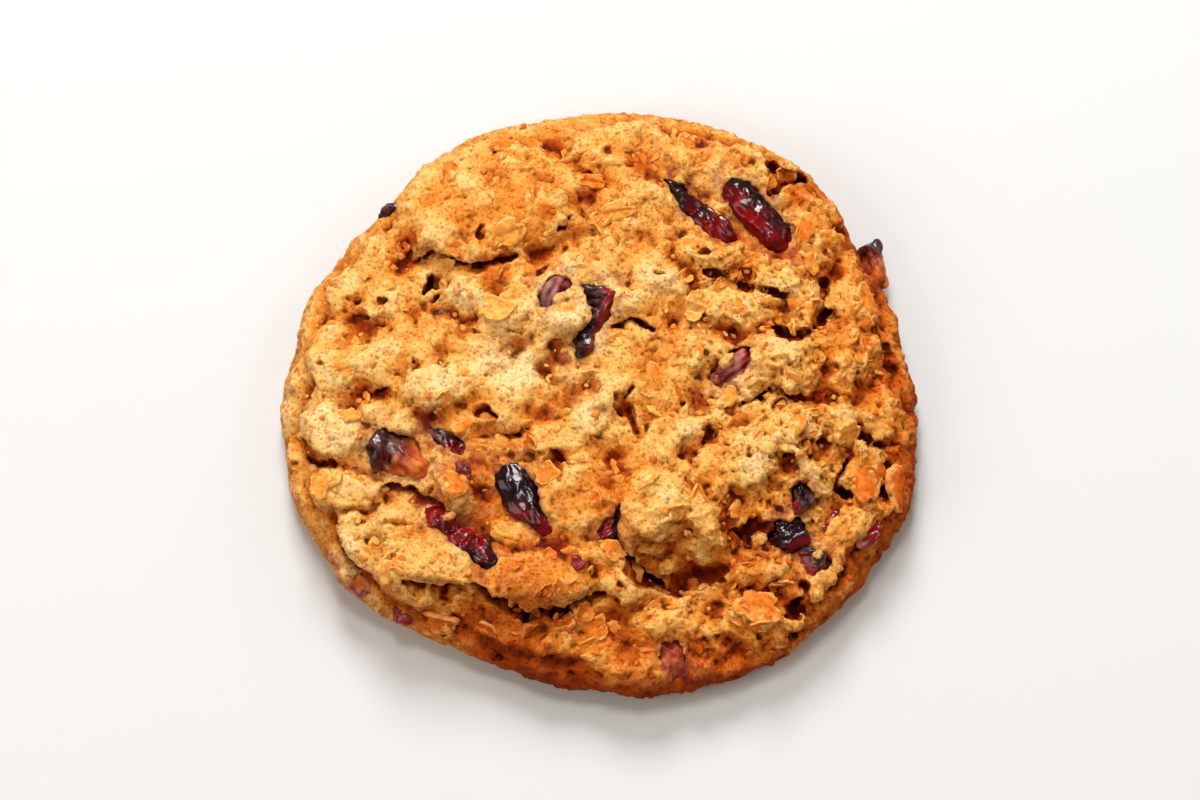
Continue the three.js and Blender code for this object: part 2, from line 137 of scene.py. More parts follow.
# %% [markdown]
# ## The pat
# A spoonful of dough that has spread on the tray is a low pat: flat below, round at the rim and nearly
# flat on top. It starts as a circle bent to the uneven outline. The circle is extruded ring by ring, up
# over the shoulder to the crown and down round the foot, and each ring is shrunk towards the middle.

# %% The outline and the section
CROWN = 11.6  # mm, height of the bare pat at its middle
BELLY = 3.6  # mm, height at which the rim is widest
FOOT = 0.93  # share of the rim's radius that lies flat on the tray
SHOULDER_POWER = 2.7
SHOULDER_ROUND = 0.55
FRONT_FALL = 1.5  # mm
RIM_STEP = 10  # degrees between the radii below
RIM_RADII = [
    39.5, 39, 39, 38.5, 39.5, 40, 39.6, 39.2, 38.5, 38, 38, 38.3,
    38.4, 37.6, 37.3, 38, 39, 39, 40, 40, 40, 39.5, 39, 37.5,
    36, 35.5, 36.5, 37, 38, 38.5, 39.5, 39.5, 40, 40, 41, 40.5,
]

def rim_radius(angle):
    """The rim's radius in mm at an angle in radians, on a smooth closed curve through the list."""
    at = (math.degrees(angle) % 360) / RIM_STEP
    i, t = int(at), at - int(at)
    a, b, c, d = (RIM_RADII[(i + k) % len(RIM_RADII)] for k in (-1, 0, 1, 2))
    return b + 0.5 * t * (c - a + t * (2 * a - 5 * b + 4 * c - d + t * (3 * (b - c) + d - a)))

WHOLE_DEGREES = np.arange(361)
RADIUS_AT = np.array([rim_radius(math.radians(a)) for a in WHOLE_DEGREES])

def share_at(x, y):
    """How far out a place or an array of places is, from 0 in the middle to 1 at the rim."""
    return np.hypot(x, y) / np.interp(np.degrees(np.arctan2(y, x)) % 360, WHOLE_DEGREES, RADIUS_AT)

def ramp(values, low, high):
    """0 below low, 1 above high and smooth between."""
    t = np.clip((values - low) / (high - low), 0, 1)
    return t * t * (3 - 2 * t)

def front_fall(x, y):
    """How many mm the near side of the pat, where the dough slumped, lies below the section."""
    return FRONT_FALL * ramp(-y, 15, 29) * (1 - np.minimum(1, share_at(x, y)) ** 8)

def pat_height(x, y):
    """Height in mm of the bare pat's top."""
    fall = 1 - np.minimum(1, share_at(x, y)) ** SHOULDER_POWER
    return float(BELLY + (CROWN - BELLY) * fall ** SHOULDER_ROUND - front_fall(x, y))

print("outline, mm:", min(RIM_RADII), "to", max(RIM_RADII))

# %% Extrude the rings
def fresh():
    """Back to object mode with nothing selected, so that an operator touches only what comes next."""
    if bpy.context.mode != "OBJECT":
        bpy.ops.object.mode_set(mode="OBJECT")
    bpy.ops.object.select_all(action="DESELECT")

def pick(piece):
    """Makes a piece the only one selected, and the active one."""
    fresh()
    piece.select_set(True)
    bpy.context.view_layer.objects.active = piece

RIM_POINTS = 144
fresh()
bpy.ops.mesh.primitive_circle_add(vertices=RIM_POINTS, radius=1, location=(0, 0, 0))
dough = bpy.context.object
dough.name = "baked_dough"
for v in dough.data.vertices:
    angle = math.atan2(v.co.y, v.co.x)
    v.co = (rim_radius(angle) * MM * math.cos(angle), rim_radius(angle) * MM * math.sin(angle), BELLY * MM)

def add_ring(shrink, climb):
    """Extrudes the selected ring, shrinks it towards the middle and lifts it."""
    bpy.ops.mesh.extrude_region_move(TRANSFORM_OT_translate={"value": (0, 0, climb)})
    bpy.ops.transform.resize(value=(shrink, shrink, 1), center_override=(0, 0, 0))

def rings_along(section):
    """Runs the selected ring along a list of (share of the radius, height in mm)."""
    share, height = section[0]
    for next_share, next_height in section[1:]:
        add_ring(next_share / share, (next_height - height) * MM)
        share, height = next_share, next_height
    bpy.ops.mesh.merge(type="CENTER")

TOP_RINGS, FOOT_RINGS = 26, 5
shares = [math.cos(0.5 * math.pi * i / TOP_RINGS) for i in range(TOP_RINGS)]
top_section = [(s, BELLY + (CROWN - BELLY) * (1 - s ** SHOULDER_POWER) ** SHOULDER_ROUND) for s in shares]
foot_turns = [0.5 * math.pi * i / FOOT_RINGS for i in range(FOOT_RINGS + 1)]
foot_section = [(FOOT + (1 - FOOT) * math.cos(t), BELLY * (1 - math.sin(t))) for t in foot_turns]
SPARE_FOOT = 1.2  # mm below the tray, sliced off flat later
foot_section.append((FOOT, -SPARE_FOOT))

bpy.ops.object.mode_set(mode="EDIT")
bpy.ops.mesh.select_all(action="SELECT")
rings_along(top_section)
bpy.ops.object.mode_set(mode="OBJECT")
for v in dough.data.vertices:
    v.co.z -= front_fall(v.co.x / MM, v.co.y / MM) * MM
for e in dough.data.edges:
    e.select = len([1 for v in e.vertices if v < RIM_POINTS]) == 2
for v in dough.data.vertices:
    v.select = v.index < RIM_POINTS
bpy.ops.object.mode_set(mode="EDIT")
rings_along(foot_section + [(0.5 * FOOT, -SPARE_FOOT)])
bpy.ops.mesh.select_all(action="SELECT")
bpy.ops.mesh.normals_make_consistent(inside=False)
print("pat:", len(dough.data.polygons), "faces")

# %% [markdown]
# ## Mounds
# Dough that is rich in oats doesn't flow smooth. It keeps the lumps it was dropped in, and each lump
# has a flat lit top and a steep side. Every lump is a squashed ball, sunk in the pat until only its cap
# stands proud. Balls that overlap meet in sharp valleys, which is where a real cookie shows its creases.

# %% Where the mounds are
# x, y, length, width in mm, turn in degrees, rise above the pat in mm, lean in degrees (the near side up)
MOUNDS = [
    (-14, 25.5, 20, 15, 8, 1.9, 4), (-19.3, 21, 8, 8, 0, 2.3, 10), (-6.8, 22.8, 8.5, 8, -20, 2.3, 12),
    (-12, 20.6, 9, 5, 15, 2.2, 10), (3, 30.5, 13, 9, 0, 1.3, 0), (4, 24.5, 9, 6, 10, 0.9, 6),
    (13, 29.5, 10, 8, -30, 1.6, 4), (26, 25.5, 11, 8, -50, 1.6, 4), (21, 31.5, 9, 5, -25, 1.1, 0),
    (-24, 27, 9, 7, 50, 0.9, 4), (-27.4, 19, 6, 5, 20, 1.5, 8), (-31, 14.5, 9, 7, 45, 1.1, 6),
    (-25.5, 12.5, 8, 6, -20, 1.2, 8), (-33.5, 6, 9, 8, 10, 1.4, 6), (-27, 4.6, 10, 7, -12, 1.3, 6),
    (-31.6, 1.6, 5, 4, 10, 1.9, 10), (-34.6, -4.4, 8.5, 7, -10, 2.1, 14), (-31.4, -12, 9, 6, 0, 2, 12),
    (-25, -3, 8, 5, -15, 1.4, 10), (-19, 1, 13, 6, 8, 2.3, 16), (-11, -0.6, 9.5, 8.5, 0, 1.9, 6),
    (-16, 12.6, 6, 4.6, 0, 1.5, 8), (-12.5, 9.6, 7, 4, -15, 1.3, 8), (-2, 12.8, 19, 11, 20, 1.4, 2),
    (-3.4, 8, 5.4, 3.6, 15, 2.5, 8), (5.5, 13, 9, 6, 0, 1.6, 8), (14, 17.8, 10, 5, -20, 1.9, 14),
    (16.5, 11, 10, 5, -10, 1.7, 8), (22, 15, 8, 6, -30, 1.9, 14), (26, 19, 8, 6, 75, 2.4, 6),
    (33, 12, 8, 6, -60, 1.8, 4), (31.5, 17.5, 5, 4, -60, 1.6, 6), (25, 11, 5, 4, 50, 1.2, 6),
    (31, 4.5, 9, 7, -70, 1.7, 6), (22.3, 4.3, 11, 7, -8, 2.4, 16), (12.5, 5.5, 8, 5.6, 0, 1.2, 6),
    (35, -2, 7, 5, -80, 1.5, 6), (28.5, -4, 7, 5, 10, 1.6, 8), (22.5, -5.4, 11, 6.5, 15, 2.4, 8),
    (16.5, -9, 12, 8, 25, 2.5, 6), (26, -10.5, 8, 5, 15, 1.3, 8), (9, -6, 13, 5, 32, 1.6, 8),
    (8.5, -14.6, 13, 11, -5, 2.9, 4), (9.8, -18, 12, 9, -8, 3, 16), (-3.6, -2.6, 12, 8, 30, 1, 12),
    (-2.5, -12.6, 10, 9, 0, 1.7, 6), (-20.6, -20.4, 14, 12, 10, 3.3, 10), (-19.5, -23.4, 11, 7, 5, 3.2, 16),
    (-8.8, -23.4, 15, 9, -5, 3.2, 18), (-30, -19.6, 10, 9, -60, 1.4, 8), (-25, -16.6, 9, 4.4, 8, 1.9, 8),
    (2.5, -23, 8, 5, -30, 1, 8), (10, -28.4, 12, 5, -8, 1, 4), (19.5, -27, 7.5, 5.4, -12, 1.7, 6),
    (28.5, -23.6, 9, 7, 45, 1.2, 6), (36.6, -12, 8, 5, 84, 1.2, 0), (33, -10.4, 7.5, 4.4, 84, 1.9, 4),
    (-17.6, -13.4, 5, 4, -65, 2.3, 8), (-20, -28.6, 8, 4, 5, 1, 6), (17.6, -22, 8, 4, -8, 1.3, 10),
    (31, -16.6, 7, 5, 50, 1.4, 6), (-3, -30.6, 8, 5, 0, 0.9, 6), (4, -34, 12, 5, 0, 0.7, 4),
    (-12, -32, 10, 5, -20, 0.7, 4), (-1, -20.2, 6, 4, -10, 1.2, 6),
]
print("mounds:", len(MOUNDS), "highest by", max(mound[5] for mound in MOUNDS), "mm")

# %% Balls sunk into the pat
CAP_DEPTH = 1.35  # a ball's half height for each mm of its rise: 1 would be a whole dome, 2 a shallow cap
LEAST_HALF_HEIGHT = 0.2  # the same for each mm of its width, at the least

def add_ball(place, rotation, half_sizes, detail=2, radius=1):
    """Adds a squashed ball to the mesh being edited. Place and half sizes are in mm."""
    bpy.ops.mesh.primitive_ico_sphere_add(
        subdivisions=detail, radius=radius, location=[v * MM for v in place], rotation=rotation,
        scale=[v * MM for v in half_sizes],
    )

def sunk_ball(x, y, length, width, turn, rise, lean=0, level=None, detail=3, depth=CAP_DEPTH):
    """Adds a squashed ball whose cap stands `rise` above the pat, inside the mesh being edited."""
    half_height = max(depth * rise, LEAST_HALF_HEIGHT * width)
    spread = math.sqrt(1 - (1 - rise / half_height) ** 2)
    ground = pat_height(x, y) if level is None else level
    add_ball((x, y, ground + rise - half_height), (-math.radians(lean), 0, math.radians(turn)),
             (0.5 * length / spread, 0.5 * width / spread, half_height), detail)

INSIDE = 0.955  # share of the rim's radius that a mound may reach
DRAW_IN, MOST_DRAWS = 0.985, 12  # how far a mound that reaches past it is drawn in, and how often

def held_in(x, y, length, width, turn):
    """A place drawn towards the middle until a lump there stays inside the outline."""
    turn = math.radians(turn)
    for _ in range(MOST_DRAWS):
        out = math.atan2(y, x)
        reach = 0.5 * math.hypot(length * math.cos(out - turn), width * math.sin(out - turn))
        if math.hypot(x, y) + reach < INSIDE * rim_radius(out):
            break
        x, y = DRAW_IN * x, DRAW_IN * y
    return x, y

# %% The mounds
MOUND_SPREAD, MOUND_RISE, MOUND_LEAN = 1.12, 0.98, 1.5  # neighbours overlap and meet in narrow valleys
bpy.ops.mesh.select_all(action="DESELECT")
for x, y, length, width, turn, rise, lean in MOUNDS:
    length, width = MOUND_SPREAD * length, MOUND_SPREAD * width
    x, y = held_in(x, y, length, width, turn)
    sunk_ball(x, y, length, width, turn, MOUND_RISE * rise, MOUND_LEAN * lean)
print("sunk into the pat:", len(MOUNDS), "mounds")

# %% [markdown]
# The near sides of the largest mounds broke off steeply as they slumped. Each such face is scooped out
# with a squashed ball that lies along the slope, so that the face is slightly hollow.

# %% Steep faces
def add_modifier(piece, kind, **settings):
    """Adds a modifier with settings and applies it."""
    pick(piece)
    modifier = piece.modifiers.new(kind.lower(), kind)
    for name, value in settings.items():
        setattr(modifier, name, value)
    bpy.ops.object.modifier_apply(modifier=modifier.name)

def reskin(piece, cell):
    """Gives a piece one fresh skin of even cells, some mm wide, round everything that overlaps."""
    add_modifier(piece, "REMESH", mode="VOXEL", voxel_size=cell * MM)

def new_shape(name):
    """An empty mesh in edit mode, ready for primitives."""
    fresh()
    bpy.ops.mesh.primitive_plane_add(size=MM, location=(0, 0, 0))
    piece = bpy.context.object
    piece.name = name
    bpy.ops.object.mode_set(mode="EDIT")
    bpy.ops.mesh.delete(type="VERT")
    return piece

def cut(piece, tool):
    """Takes a tool's volume out of a piece and removes the tool."""
    add_modifier(piece, "BOOLEAN", operation="DIFFERENCE", solver="MANIFOLD", object=tool)
    bpy.data.objects.remove(tool)

def joined(copies, name):
    """One piece made of many, with its transforms applied."""
    fresh()
    for c in copies:
        c.select_set(True)
    bpy.context.view_layer.objects.active = copies[0]
    bpy.ops.object.join()
    bpy.ops.object.transform_apply(location=True, rotation=True, scale=True)
    piece = bpy.context.object
    piece.name = name
    return piece

# x, half length, y and z of the crest, y and z of the foot, all in mm, and a turn in degrees
FACES = [
    (9.5, 7.5, -17, 14, -22.7, 7, -6),
    (-7.5, 7.5, -25.6, 13.2, -29, 7.6, -2),
    (-21, 6.5, -24, 12.8, -26.6, 8.6, 6),
]
SCOOP_HALF = 2.3  # mm, half the thickness of the scooping ball
SCOOP_OFF = 0.8  # how far its middle stands off the slope, for each mm of that
SCOOP_REACH = 0.65  # its half width for each mm of the slope

reskin(dough, 0.5)
scoops = new_shape("scoops")
for x, half_length, crest_y, crest_z, foot_y, foot_z, turn in FACES:
    slope = math.atan2(crest_z - foot_z, crest_y - foot_y)
    run = math.hypot(crest_z - foot_z, crest_y - foot_y)
    off = SCOOP_OFF * SCOOP_HALF
    y = 0.5 * (crest_y + foot_y) - off * math.sin(slope)
    z = 0.5 * (crest_z + foot_z) + off * math.cos(slope)
    add_ball((x, y, z), (slope, 0, math.radians(turn)), (half_length, SCOOP_REACH * run, SCOOP_HALF), 4)
fresh()
reskin(scoops, 0.4)
cut(dough, scoops)
print("with steep faces:", len(dough.data.vertices), "points")

# %% Where the top is
from mathutils.bvhtree import BVHTree

ABOVE_ALL = 0.05  # metres, a height from which to look down
DOWN = Vector((0, 0, -1))

def top_finder(piece):
    """A function that gives the height in mm of the highest skin of a piece at a place."""
    tree = BVHTree.FromObject(piece, bpy.context.evaluated_depsgraph_get())
    def top_at(x, y):
        hit = tree.ray_cast(Vector((x * MM, y * MM, ABOVE_ALL)), DOWN)[0]
        return hit.z / MM if hit else 0
    return top_at

top_at = top_finder(dough)
print("height at the middle, mm:", round(top_at(0, 0), 2))

# %% [markdown]
# Between and on the mounds lie smaller clumps, from oats and flour that stuck together. They are many
# and have no pattern, so they are drawn from a seeded random list. A spiral that turns by the golden
# angle spreads them evenly. The right side is the most crumbly, and the far left dome the smoothest.

# %% Clumps
GOLDEN_TURN = math.pi * (3 - math.sqrt(5))

def spread_places(count, reach, rng):
    """Places in mm that cover the top evenly out to a share of the rim's radius."""
    for i in range(count):
        angle = i * GOLDEN_TURN + rng.uniform(-0.2, 0.2)
        share = reach * math.sqrt((i + 0.5) / count)
        r = min(reach, share + rng.uniform(-0.02, 0.02)) * rim_radius(angle)
        yield r * math.cos(angle), r * math.sin(angle)

def crumbly(x, y):
    """How broken up the dough is at a place, from 0.2 on the smooth dome to 1 at the right."""
    dome = (x < -3) & (y > 17) | (x < 9) & (y > 24)
    near_left_mounds = (x < 2) & (y < -12) & (y > -27)
    round_mound = np.hypot(x - 9, y + 14) < 7
    from_middle = np.hypot(x + 3, y - 2)
    amount = 0.6 + 0.45 * np.tanh((x - 10) / 10)
    amount = np.where(dome, 0.2, amount)
    amount = np.minimum(amount, 0.35 + ramp(from_middle, 11, 15))
    amount = np.where(near_left_mounds | round_mound, 0.3, amount)
    return np.maximum(amount, 0.45 * ramp(share_at(x, y), 0.8, 0.88) + 0.25 * ramp(-y, 24, 28))

rng = random.Random(7)
CLUMPS = 430
CLUMP_WIDTH = (1.2, 3.2)  # mm
CLUMP_RISE = (0.4, 1.15)  # mm, where the dough is most broken up
clumps = new_shape("clumps")
for x, y in spread_places(CLUMPS, 0.93, rng):
    strength = crumbly(x, y)
    width = rng.uniform(*CLUMP_WIDTH)
    rise = rng.uniform(*CLUMP_RISE) * (0.35 + 0.65 * strength)
    sunk_ball(x, y, width * rng.uniform(1, 1.6), width, rng.uniform(0, 180), rise, rng.uniform(-8, 12),
              level=top_at(x, y) - 0.1, detail=1, depth=1.5)
fresh()
print("clumps:", len(clumps.data.vertices), "points")

# %% [markdown]
# The side wall is lumpy too, because the outer oats were pushed against nothing as the dough spread.

# %% Lumps on the side wall
side_lumps = new_shape("side_lumps")
SIDE_LUMPS = 130
SIDE_DEPTH = 1.5  # mm from the middle of a lump to its outermost point
for i in range(SIDE_LUMPS):
    angle = i * GOLDEN_TURN
    z = rng.uniform(1.4, 6)
    inset = SIDE_DEPTH + 0.3 * (z - BELLY) ** 2 / 2
    r = rim_radius(angle) - inset
    size = rng.uniform(1.2, 2.2)
    add_ball((r * math.cos(angle), r * math.sin(angle), z), (0, 0, angle),
             (SIDE_DEPTH, size * 1.3, min(size, z)))
fresh()
print("side lumps:", len(side_lumps.data.vertices), "points")

# %% One skin
dough = joined([dough, clumps, side_lumps], "baked_dough")
reskin(dough, 0.4)
print("one skin:", len(dough.data.vertices), "points")

# %% [markdown]
# ## Cracks and pits
# Where lumps pull apart as the dough sets, the skin tears, and steam leaves open pits. Both are cut
# out with one cutter. A crack is a chain of thin upright discs along a run of points, so its width
# comes and goes. Every disc leans in a little under the far side of its crack, and under a large mound
# it leans more, so that the mound hangs over its crack and shades it.

# %% Where the cracks and pits are
# depth and width in mm, how many degrees the discs lean more than usual, then the points
CRACKS = [
    (2.4, 1.0, 20, (-22.8, 16.9), (-20.5, 17.6), (-18.5, 17.1), (-16.5, 16.2), (-14.3, 15.9),
     (-10.5, 16.8)),
    (1.6, 0.8, 10, (-13.7, 21), (-14.1, 19.4), (-13, 18.2), (-11.2, 17.3), (-8.8, 17.2)),
    (1.1, 0.5, -10, (-10.6, 14.6), (-7.6, 15.3), (-5.4, 16.4), (-3.4, 18), (-1.2, 18.9)),
    (0.9, 0.5, 0, (-35.5, 9.6), (-32, 11), (-30, 10.2), (-27.5, 8.8), (-25, 8.2), (-23, 7)),
    (0.8, 0.5, 15, (-17.5, 7.8), (-15.4, 6.9), (-13.6, 6.6), (-11.2, 7.6)),
    (1.8, 1.0, 10, (-36.6, -7.6), (-35, -8.7), (-32.6, -8.5), (-31, -9.6)),
    (3.0, 1.7, 25, (-27, -12.3), (-25, -13.6), (-22.5, -14.1), (-20, -14.1)),
    (4.0, 2.2, 34, (-24.5, -25.2), (-21.5, -25.8), (-19, -26.6), (-17, -26), (-14.5, -26.4), (-11.5, -28),
     (-8.2, -28.6), (-5, -28.4), (-2, -27.2), (0.4, -25.6)),
    (1.8, 1.0, 0, (-18.4, -28.6), (-17.6, -27.4)),
    (2.6, 1.2, 20, (2.6, -15.2), (1.8, -17.4), (2.2, -19.6), (4, -21.8), (6.5, -23.4), (9, -24.2)),
    (2.2, 1.1, 20, (13, 14.8), (15.5, 14.1), (17.2, 13.1), (19.5, 12.9), (21, 12.3), (24.4, 11.6)),
    (2.4, 1.1, 25, (16.3, -1.8), (19, -0.8), (21.5, 0), (24, -0.5), (28, -0.9), (28.8, -2.5)),
    (2.2, 1.3, 0, (28.3, 14.4), (28, 12.5), (28, 10.5), (28.2, 9), (27, 7.4), (25.4, 6.4), (23.5, 7),
     (22.3, 8.2)),
    (1.8, 0.7, 0, (11.7, -9.9), (12.3, -8.3), (13.2, -6.3), (14.3, -4.3)),
    (2.2, 1.1, 0, (31.1, -8.8), (30.3, -10.3), (30, -11.8), (30.9, -12.9)),
    (1.4, 0.5, 0, (35.4, -13.9), (35.1, -11.8), (35.5, -9.8), (36.2, -8.7)),
    (2.2, 1.3, 10, (33.1, -4.9), (34.5, -6), (36.6, -6.4)),
    (2.0, 1.6, 0, (4.7, -6.1), (4, -4.2), (2.9, -2.2), (4.4, -0.2)),
    (2.2, 1.0, 15, (2.3, 7.9), (4.3, 8.2), (5.6, 7.5), (7.2, 7)),
    (1.8, 0.9, 0, (9.1, 0.4), (9.9, -1.5)),
    (1.0, 0.6, 15, (10.4, 17.6), (12.4, 16.9), (15.2, 17.1)),
    (2.0, 1.2, 0, (24.8, -23.9), (25, -25.2), (24.5, -26.6)),
    (1.3, 0.6, 0, (-24.8, -20.5), (-25.8, -22), (-26.6, -23.6)),
    (1.6, 0.8, 20, (-15.3, -5.4), (-12, -6.1), (-9.5, -5.6), (-7.6, -4.4)),
    (1.3, 0.6, 10, (-10.7, -9.4), (-8, -8), (-5.5, -7.9), (-3.4, -9.5)),
    (1.6, 0.8, 0, (-2.7, 25.6), (-2.4, 23.8), (-2, 22.5)),
    (1.4, 0.7, 15, (-3.2, 22.2), (-3.6, 20.6), (-5.2, 20)),
    (1.4, 0.6, 0, (28.9, 15.6), (30.2, 15.7), (31.1, 16.6)),
    (2.8, 2.3, 0, (21.2, 29.6), (22.3, 28), (24, 28.3), (26, 28.6)),
    (2.6, 2, 0, (22.5, 28), (22.1, 26.4)),
    (1.2, 0.6, 5, (-35.3, -10.6), (-35.5, -13.2), (-34, -14.6), (-31.5, -15), (-28.4, -14.7)),
    (1.2, 0.7, 5, (-31.2, -16.1), (-28.9, -16.2)),
    (1.2, 0.6, 5, (-26.4, -17.7), (-24, -17.4)),
    (1.0, 0.5, 15, (19.8, -8.7), (22, -8.9), (24, -8.6)),
    (1.3, 0.7, 15, (24.6, -7.6), (27.8, -7.2)),
    (1.2, 0.7, 0, (2.4, 13.2), (4.4, 12.8)),
    (1.2, 0.7, 0, (6.8, 14.1), (8.7, 14.3)),
    (1.4, 0.8, 10, (-3.2, 28.1), (-0.8, 28.2)),
    (1.5, 0.9, 10, (12.4, -24.4), (15, -24.3)),
    (1.3, 0.7, 0, (2.4, -24.6), (3.7, -24.7)),
    (1.3, 0.7, 0, (-20.6, -29.4), (-19, -29.8)),
    (1.2, 0.6, 0, (-13.7, -32.8), (-11.6, -32.3)),
    (1.4, 0.8, 0, (-4.4, -29.8), (-2.8, -29.4)),
    (1.6, 0.8, 10, (-28.6, 0), (-27, 0.4), (-26.6, 1)),
]
# x, y, width and depth in mm
PITS = [
    (-21.4, 14.5, 2.8, 3.2), (-20.3, 12.8, 1.5, 2.2), (-13.9, -2.7, 2.8, 3.2), (-22.2, 3.1, 1.9, 2),
    (-24.3, 1.4, 1.3, 1.7), (-31.3, 12.8, 1.7, 1.4), (-30.5, 12.3, 1, 1), (-27.5, 11.4, 1.5, 1.4),
    (-31.3, -2.1, 1.4, 1.8), (-31.2, 0.3, 1.2, 1.4), (17.9, -17.8, 2.9, 3.4), (19.6, -16.3, 1.9, 2.4),
    (21.4, -15.3, 1.5, 1.4), (13, 32.8, 1.9, 1.8), (-17.7, -29.4, 1.7, 1.5), (24.2, -27.4, 2.1, 2.6),
    (24.2, -30, 1.4, 1.4), (12.8, 9.7, 0.8, 1), (24.1, 5.2, 0.8, 1), (18.1, 7.2, 0.8, 0.9),
    (-34.1, 2.8, 0.9, 1), (-35.6, 8.2, 0.9, 1), (-7.2, 26.8, 0.8, 0.9), (0.7, 31.8, 0.9, 0.9),
    (-38, -8, 1.1, 1), (3.2, -2.6, 2.4, 2.4), (38.4, -2.8, 1, 1), (0.4, -33.4, 1.1, 1), (-3.6, -35, 1, 1),
    (26.2, 9.6, 1, 1.4), (29.6, 4, 0.8, 1), (-34.6, -1.6, 0.9, 1), (-17.3, 8.8, 0.7, 0.9),
]

print("large cracks:", len(CRACKS), "pits:", len(PITS))

# %% The large cracks
USUAL_LEAN = 10  # degrees
THINNEST = 0.42  # mm, the least width of a crack
OVERLAP = 0.6  # mm that a disc reaches past its share of the crack, at both ends

def crack_discs(depth, width, lean, points, rng, detail=2, step=0.8, stray=0.2):
    """Adds the chain of discs for one crack, one for each `step` mm, to the mesh being edited."""
    lean = math.radians(lean + USUAL_LEAN)
    for (x0, y0), (x1, y1) in zip(points, points[1:]):
        reach = math.hypot(x1 - x0, y1 - y0)
        turn = math.atan2(y1 - y0, x1 - x0)
        steps = max(1, round(reach / step))
        for k in range(steps):
            t = (k + 0.5) / steps
            x = x0 + t * (x1 - x0) + rng.uniform(-stray, stray)
            y = y0 + t * (y1 - y0) + rng.uniform(-stray, stray)
            deep = depth * rng.uniform(0.75, 1.15)
            wide = max(THINNEST, width * rng.uniform(0.4, 0.95))
            side = math.copysign(1, math.cos(turn))  # which way the disc's own y axis points
            matrix = Euler((0, 0, turn)).to_matrix() @ Euler((side * lean, 0, 0)).to_matrix()
            add_ball((x, y, top_at(x, y) + 0.1), matrix.to_euler(),
                     (0.5 * reach / steps + OVERLAP, 0.5 * wide, deep), detail)

top_at = top_finder(dough)
cutter = new_shape("crack_cutter")
rng = random.Random(21)
for depth, width, lean, *points in CRACKS:
    crack_discs(depth, width, lean, points, rng)

# %% Pits and small cracks
BALLS_IN_PIT = 5

def add_pit(x, y, width, depth, rng):
    """Adds a pit to the cutter: a few overlapping balls, so that its mouth isn't round."""
    for _ in range(BALLS_IN_PIT):
        turn = rng.uniform(0, math.tau)
        off = rng.uniform(0.1, 0.42) * width
        place = (x + off * math.cos(turn), y + off * math.sin(turn), top_at(x, y))
        rotation = (rng.uniform(-0.3, 0.3), rng.uniform(-0.3, 0.3), turn)
        across = rng.uniform(0.24, 0.48) * width, rng.uniform(0.18, 0.34) * width
        add_ball(place, rotation, (*across, rng.uniform(0.4, 1) * depth), 1)

fresh()
small_cutter = new_shape("small_cutter")
for x, y, width, depth in PITS:
    add_pit(x, y, width, depth, rng)
SMALL_CRACKS, SMALL_PITS = 170, 24
for x, y in spread_places(SMALL_CRACKS, 0.96, rng):
    if rng.random() < crumbly(x, y):
        turn, reach = rng.uniform(0, math.pi), rng.uniform(1, 2.6)
        dx, dy = reach * math.cos(turn), reach * math.sin(turn)
        bend = rng.uniform(-0.6, 0.6)
        points = [(x - dx, y - dy), (x + bend, y + bend), (x + dx, y + dy)]
        depth, width = rng.uniform(0.6, 1), rng.uniform(0.4, 0.6)
        crack_discs(depth, width, 0, points, rng, detail=1, step=0.7, stray=0.1)
for x, y in spread_places(SMALL_PITS, 0.97, rng):
    width = rng.uniform(0.4, 0.8)
    add_pit(x, y, width, width * rng.uniform(0.8, 1.3), rng)
fresh()
cutter = joined([cutter, small_cutter], "crack_cutter")
reskin(cutter, 0.18)
print("cutter:", len(cutter.data.vertices), "points")

# %% Cut them out
cut(dough, cutter)
print("with cracks:", len(dough.data.vertices), "points")

# %% [markdown]
# ## Unevenness
# Balls and discs are too regular. Three displacements push every point sideways as well as up, by a
# cloud pattern whose three colours are read as three directions, so round outlines turn ragged. The
# outline keeps most of its shape, because a vertex group holds the push back near the rim. The spare
# foot is then sliced off at the tray, and a fresh skin of finer cells carries the crumb.

# %% Groups of points
def points_of(piece):
    """The points of a piece as an array of x, y, z in mm."""
    flat = np.empty(3 * len(piece.data.vertices))
    piece.data.vertices.foreach_get("co", flat)
    return flat.reshape(-1, 3) / MM

def add_group(piece, name, weights):
    """A vertex group with one weight for each point, rounded to tenths so that it fills quickly."""
    group = piece.vertex_groups.new(name=name)
    tenths = np.round(10 * np.clip(weights, 0, 1)).astype(int)
    for tenth in range(1, 11):
        group.add(np.flatnonzero(tenths == tenth).tolist(), tenth / 10, "REPLACE")
    return name

def store(piece, name, values):
    """Keeps one number for each point as an attribute."""
    attribute = piece.data.attributes.new(name, "FLOAT", "POINT")
    attribute.data.foreach_set("value", np.asarray(values, dtype=np.float32))

print("points of the dough:", len(points_of(dough)))

# %% Warp
def cloud(name, size, depth=2, colour=False, hard=False):
    """A cloud texture whose lumps are about `size` mm across."""
    texture = bpy.data.textures.new(name, "CLOUDS")
    texture.noise_scale = size * MM
    texture.noise_depth = depth
    texture.cloud_type = "COLOR" if colour else "GRAYSCALE"
    texture.noise_type = "HARD_NOISE" if hard else "SOFT_NOISE"
    return texture

def grains(name, size):
    """A cell texture: rounded grains about `size` mm across that meet in sharp valleys."""
    texture = bpy.data.textures.new(name, "VORONOI")
    texture.noise_scale = size * MM
    texture.weight_1, texture.weight_2 = -1, 1
    texture.noise_intensity = 1
    return texture

def pores(name, size, width):
    """A white texture with small black dots, `width` mm across: one to a cell of `size` mm."""
    texture = bpy.data.textures.new(name, "VORONOI")
    texture.noise_scale = size * MM
    texture.use_color_ramp = True
    low, high = texture.color_ramp.elements
    low.position, low.color = 0.3 * width / size, (0, 0, 0, 1)
    high.position, high.color = 0.6 * width / size, (1, 1, 1, 1)
    return texture

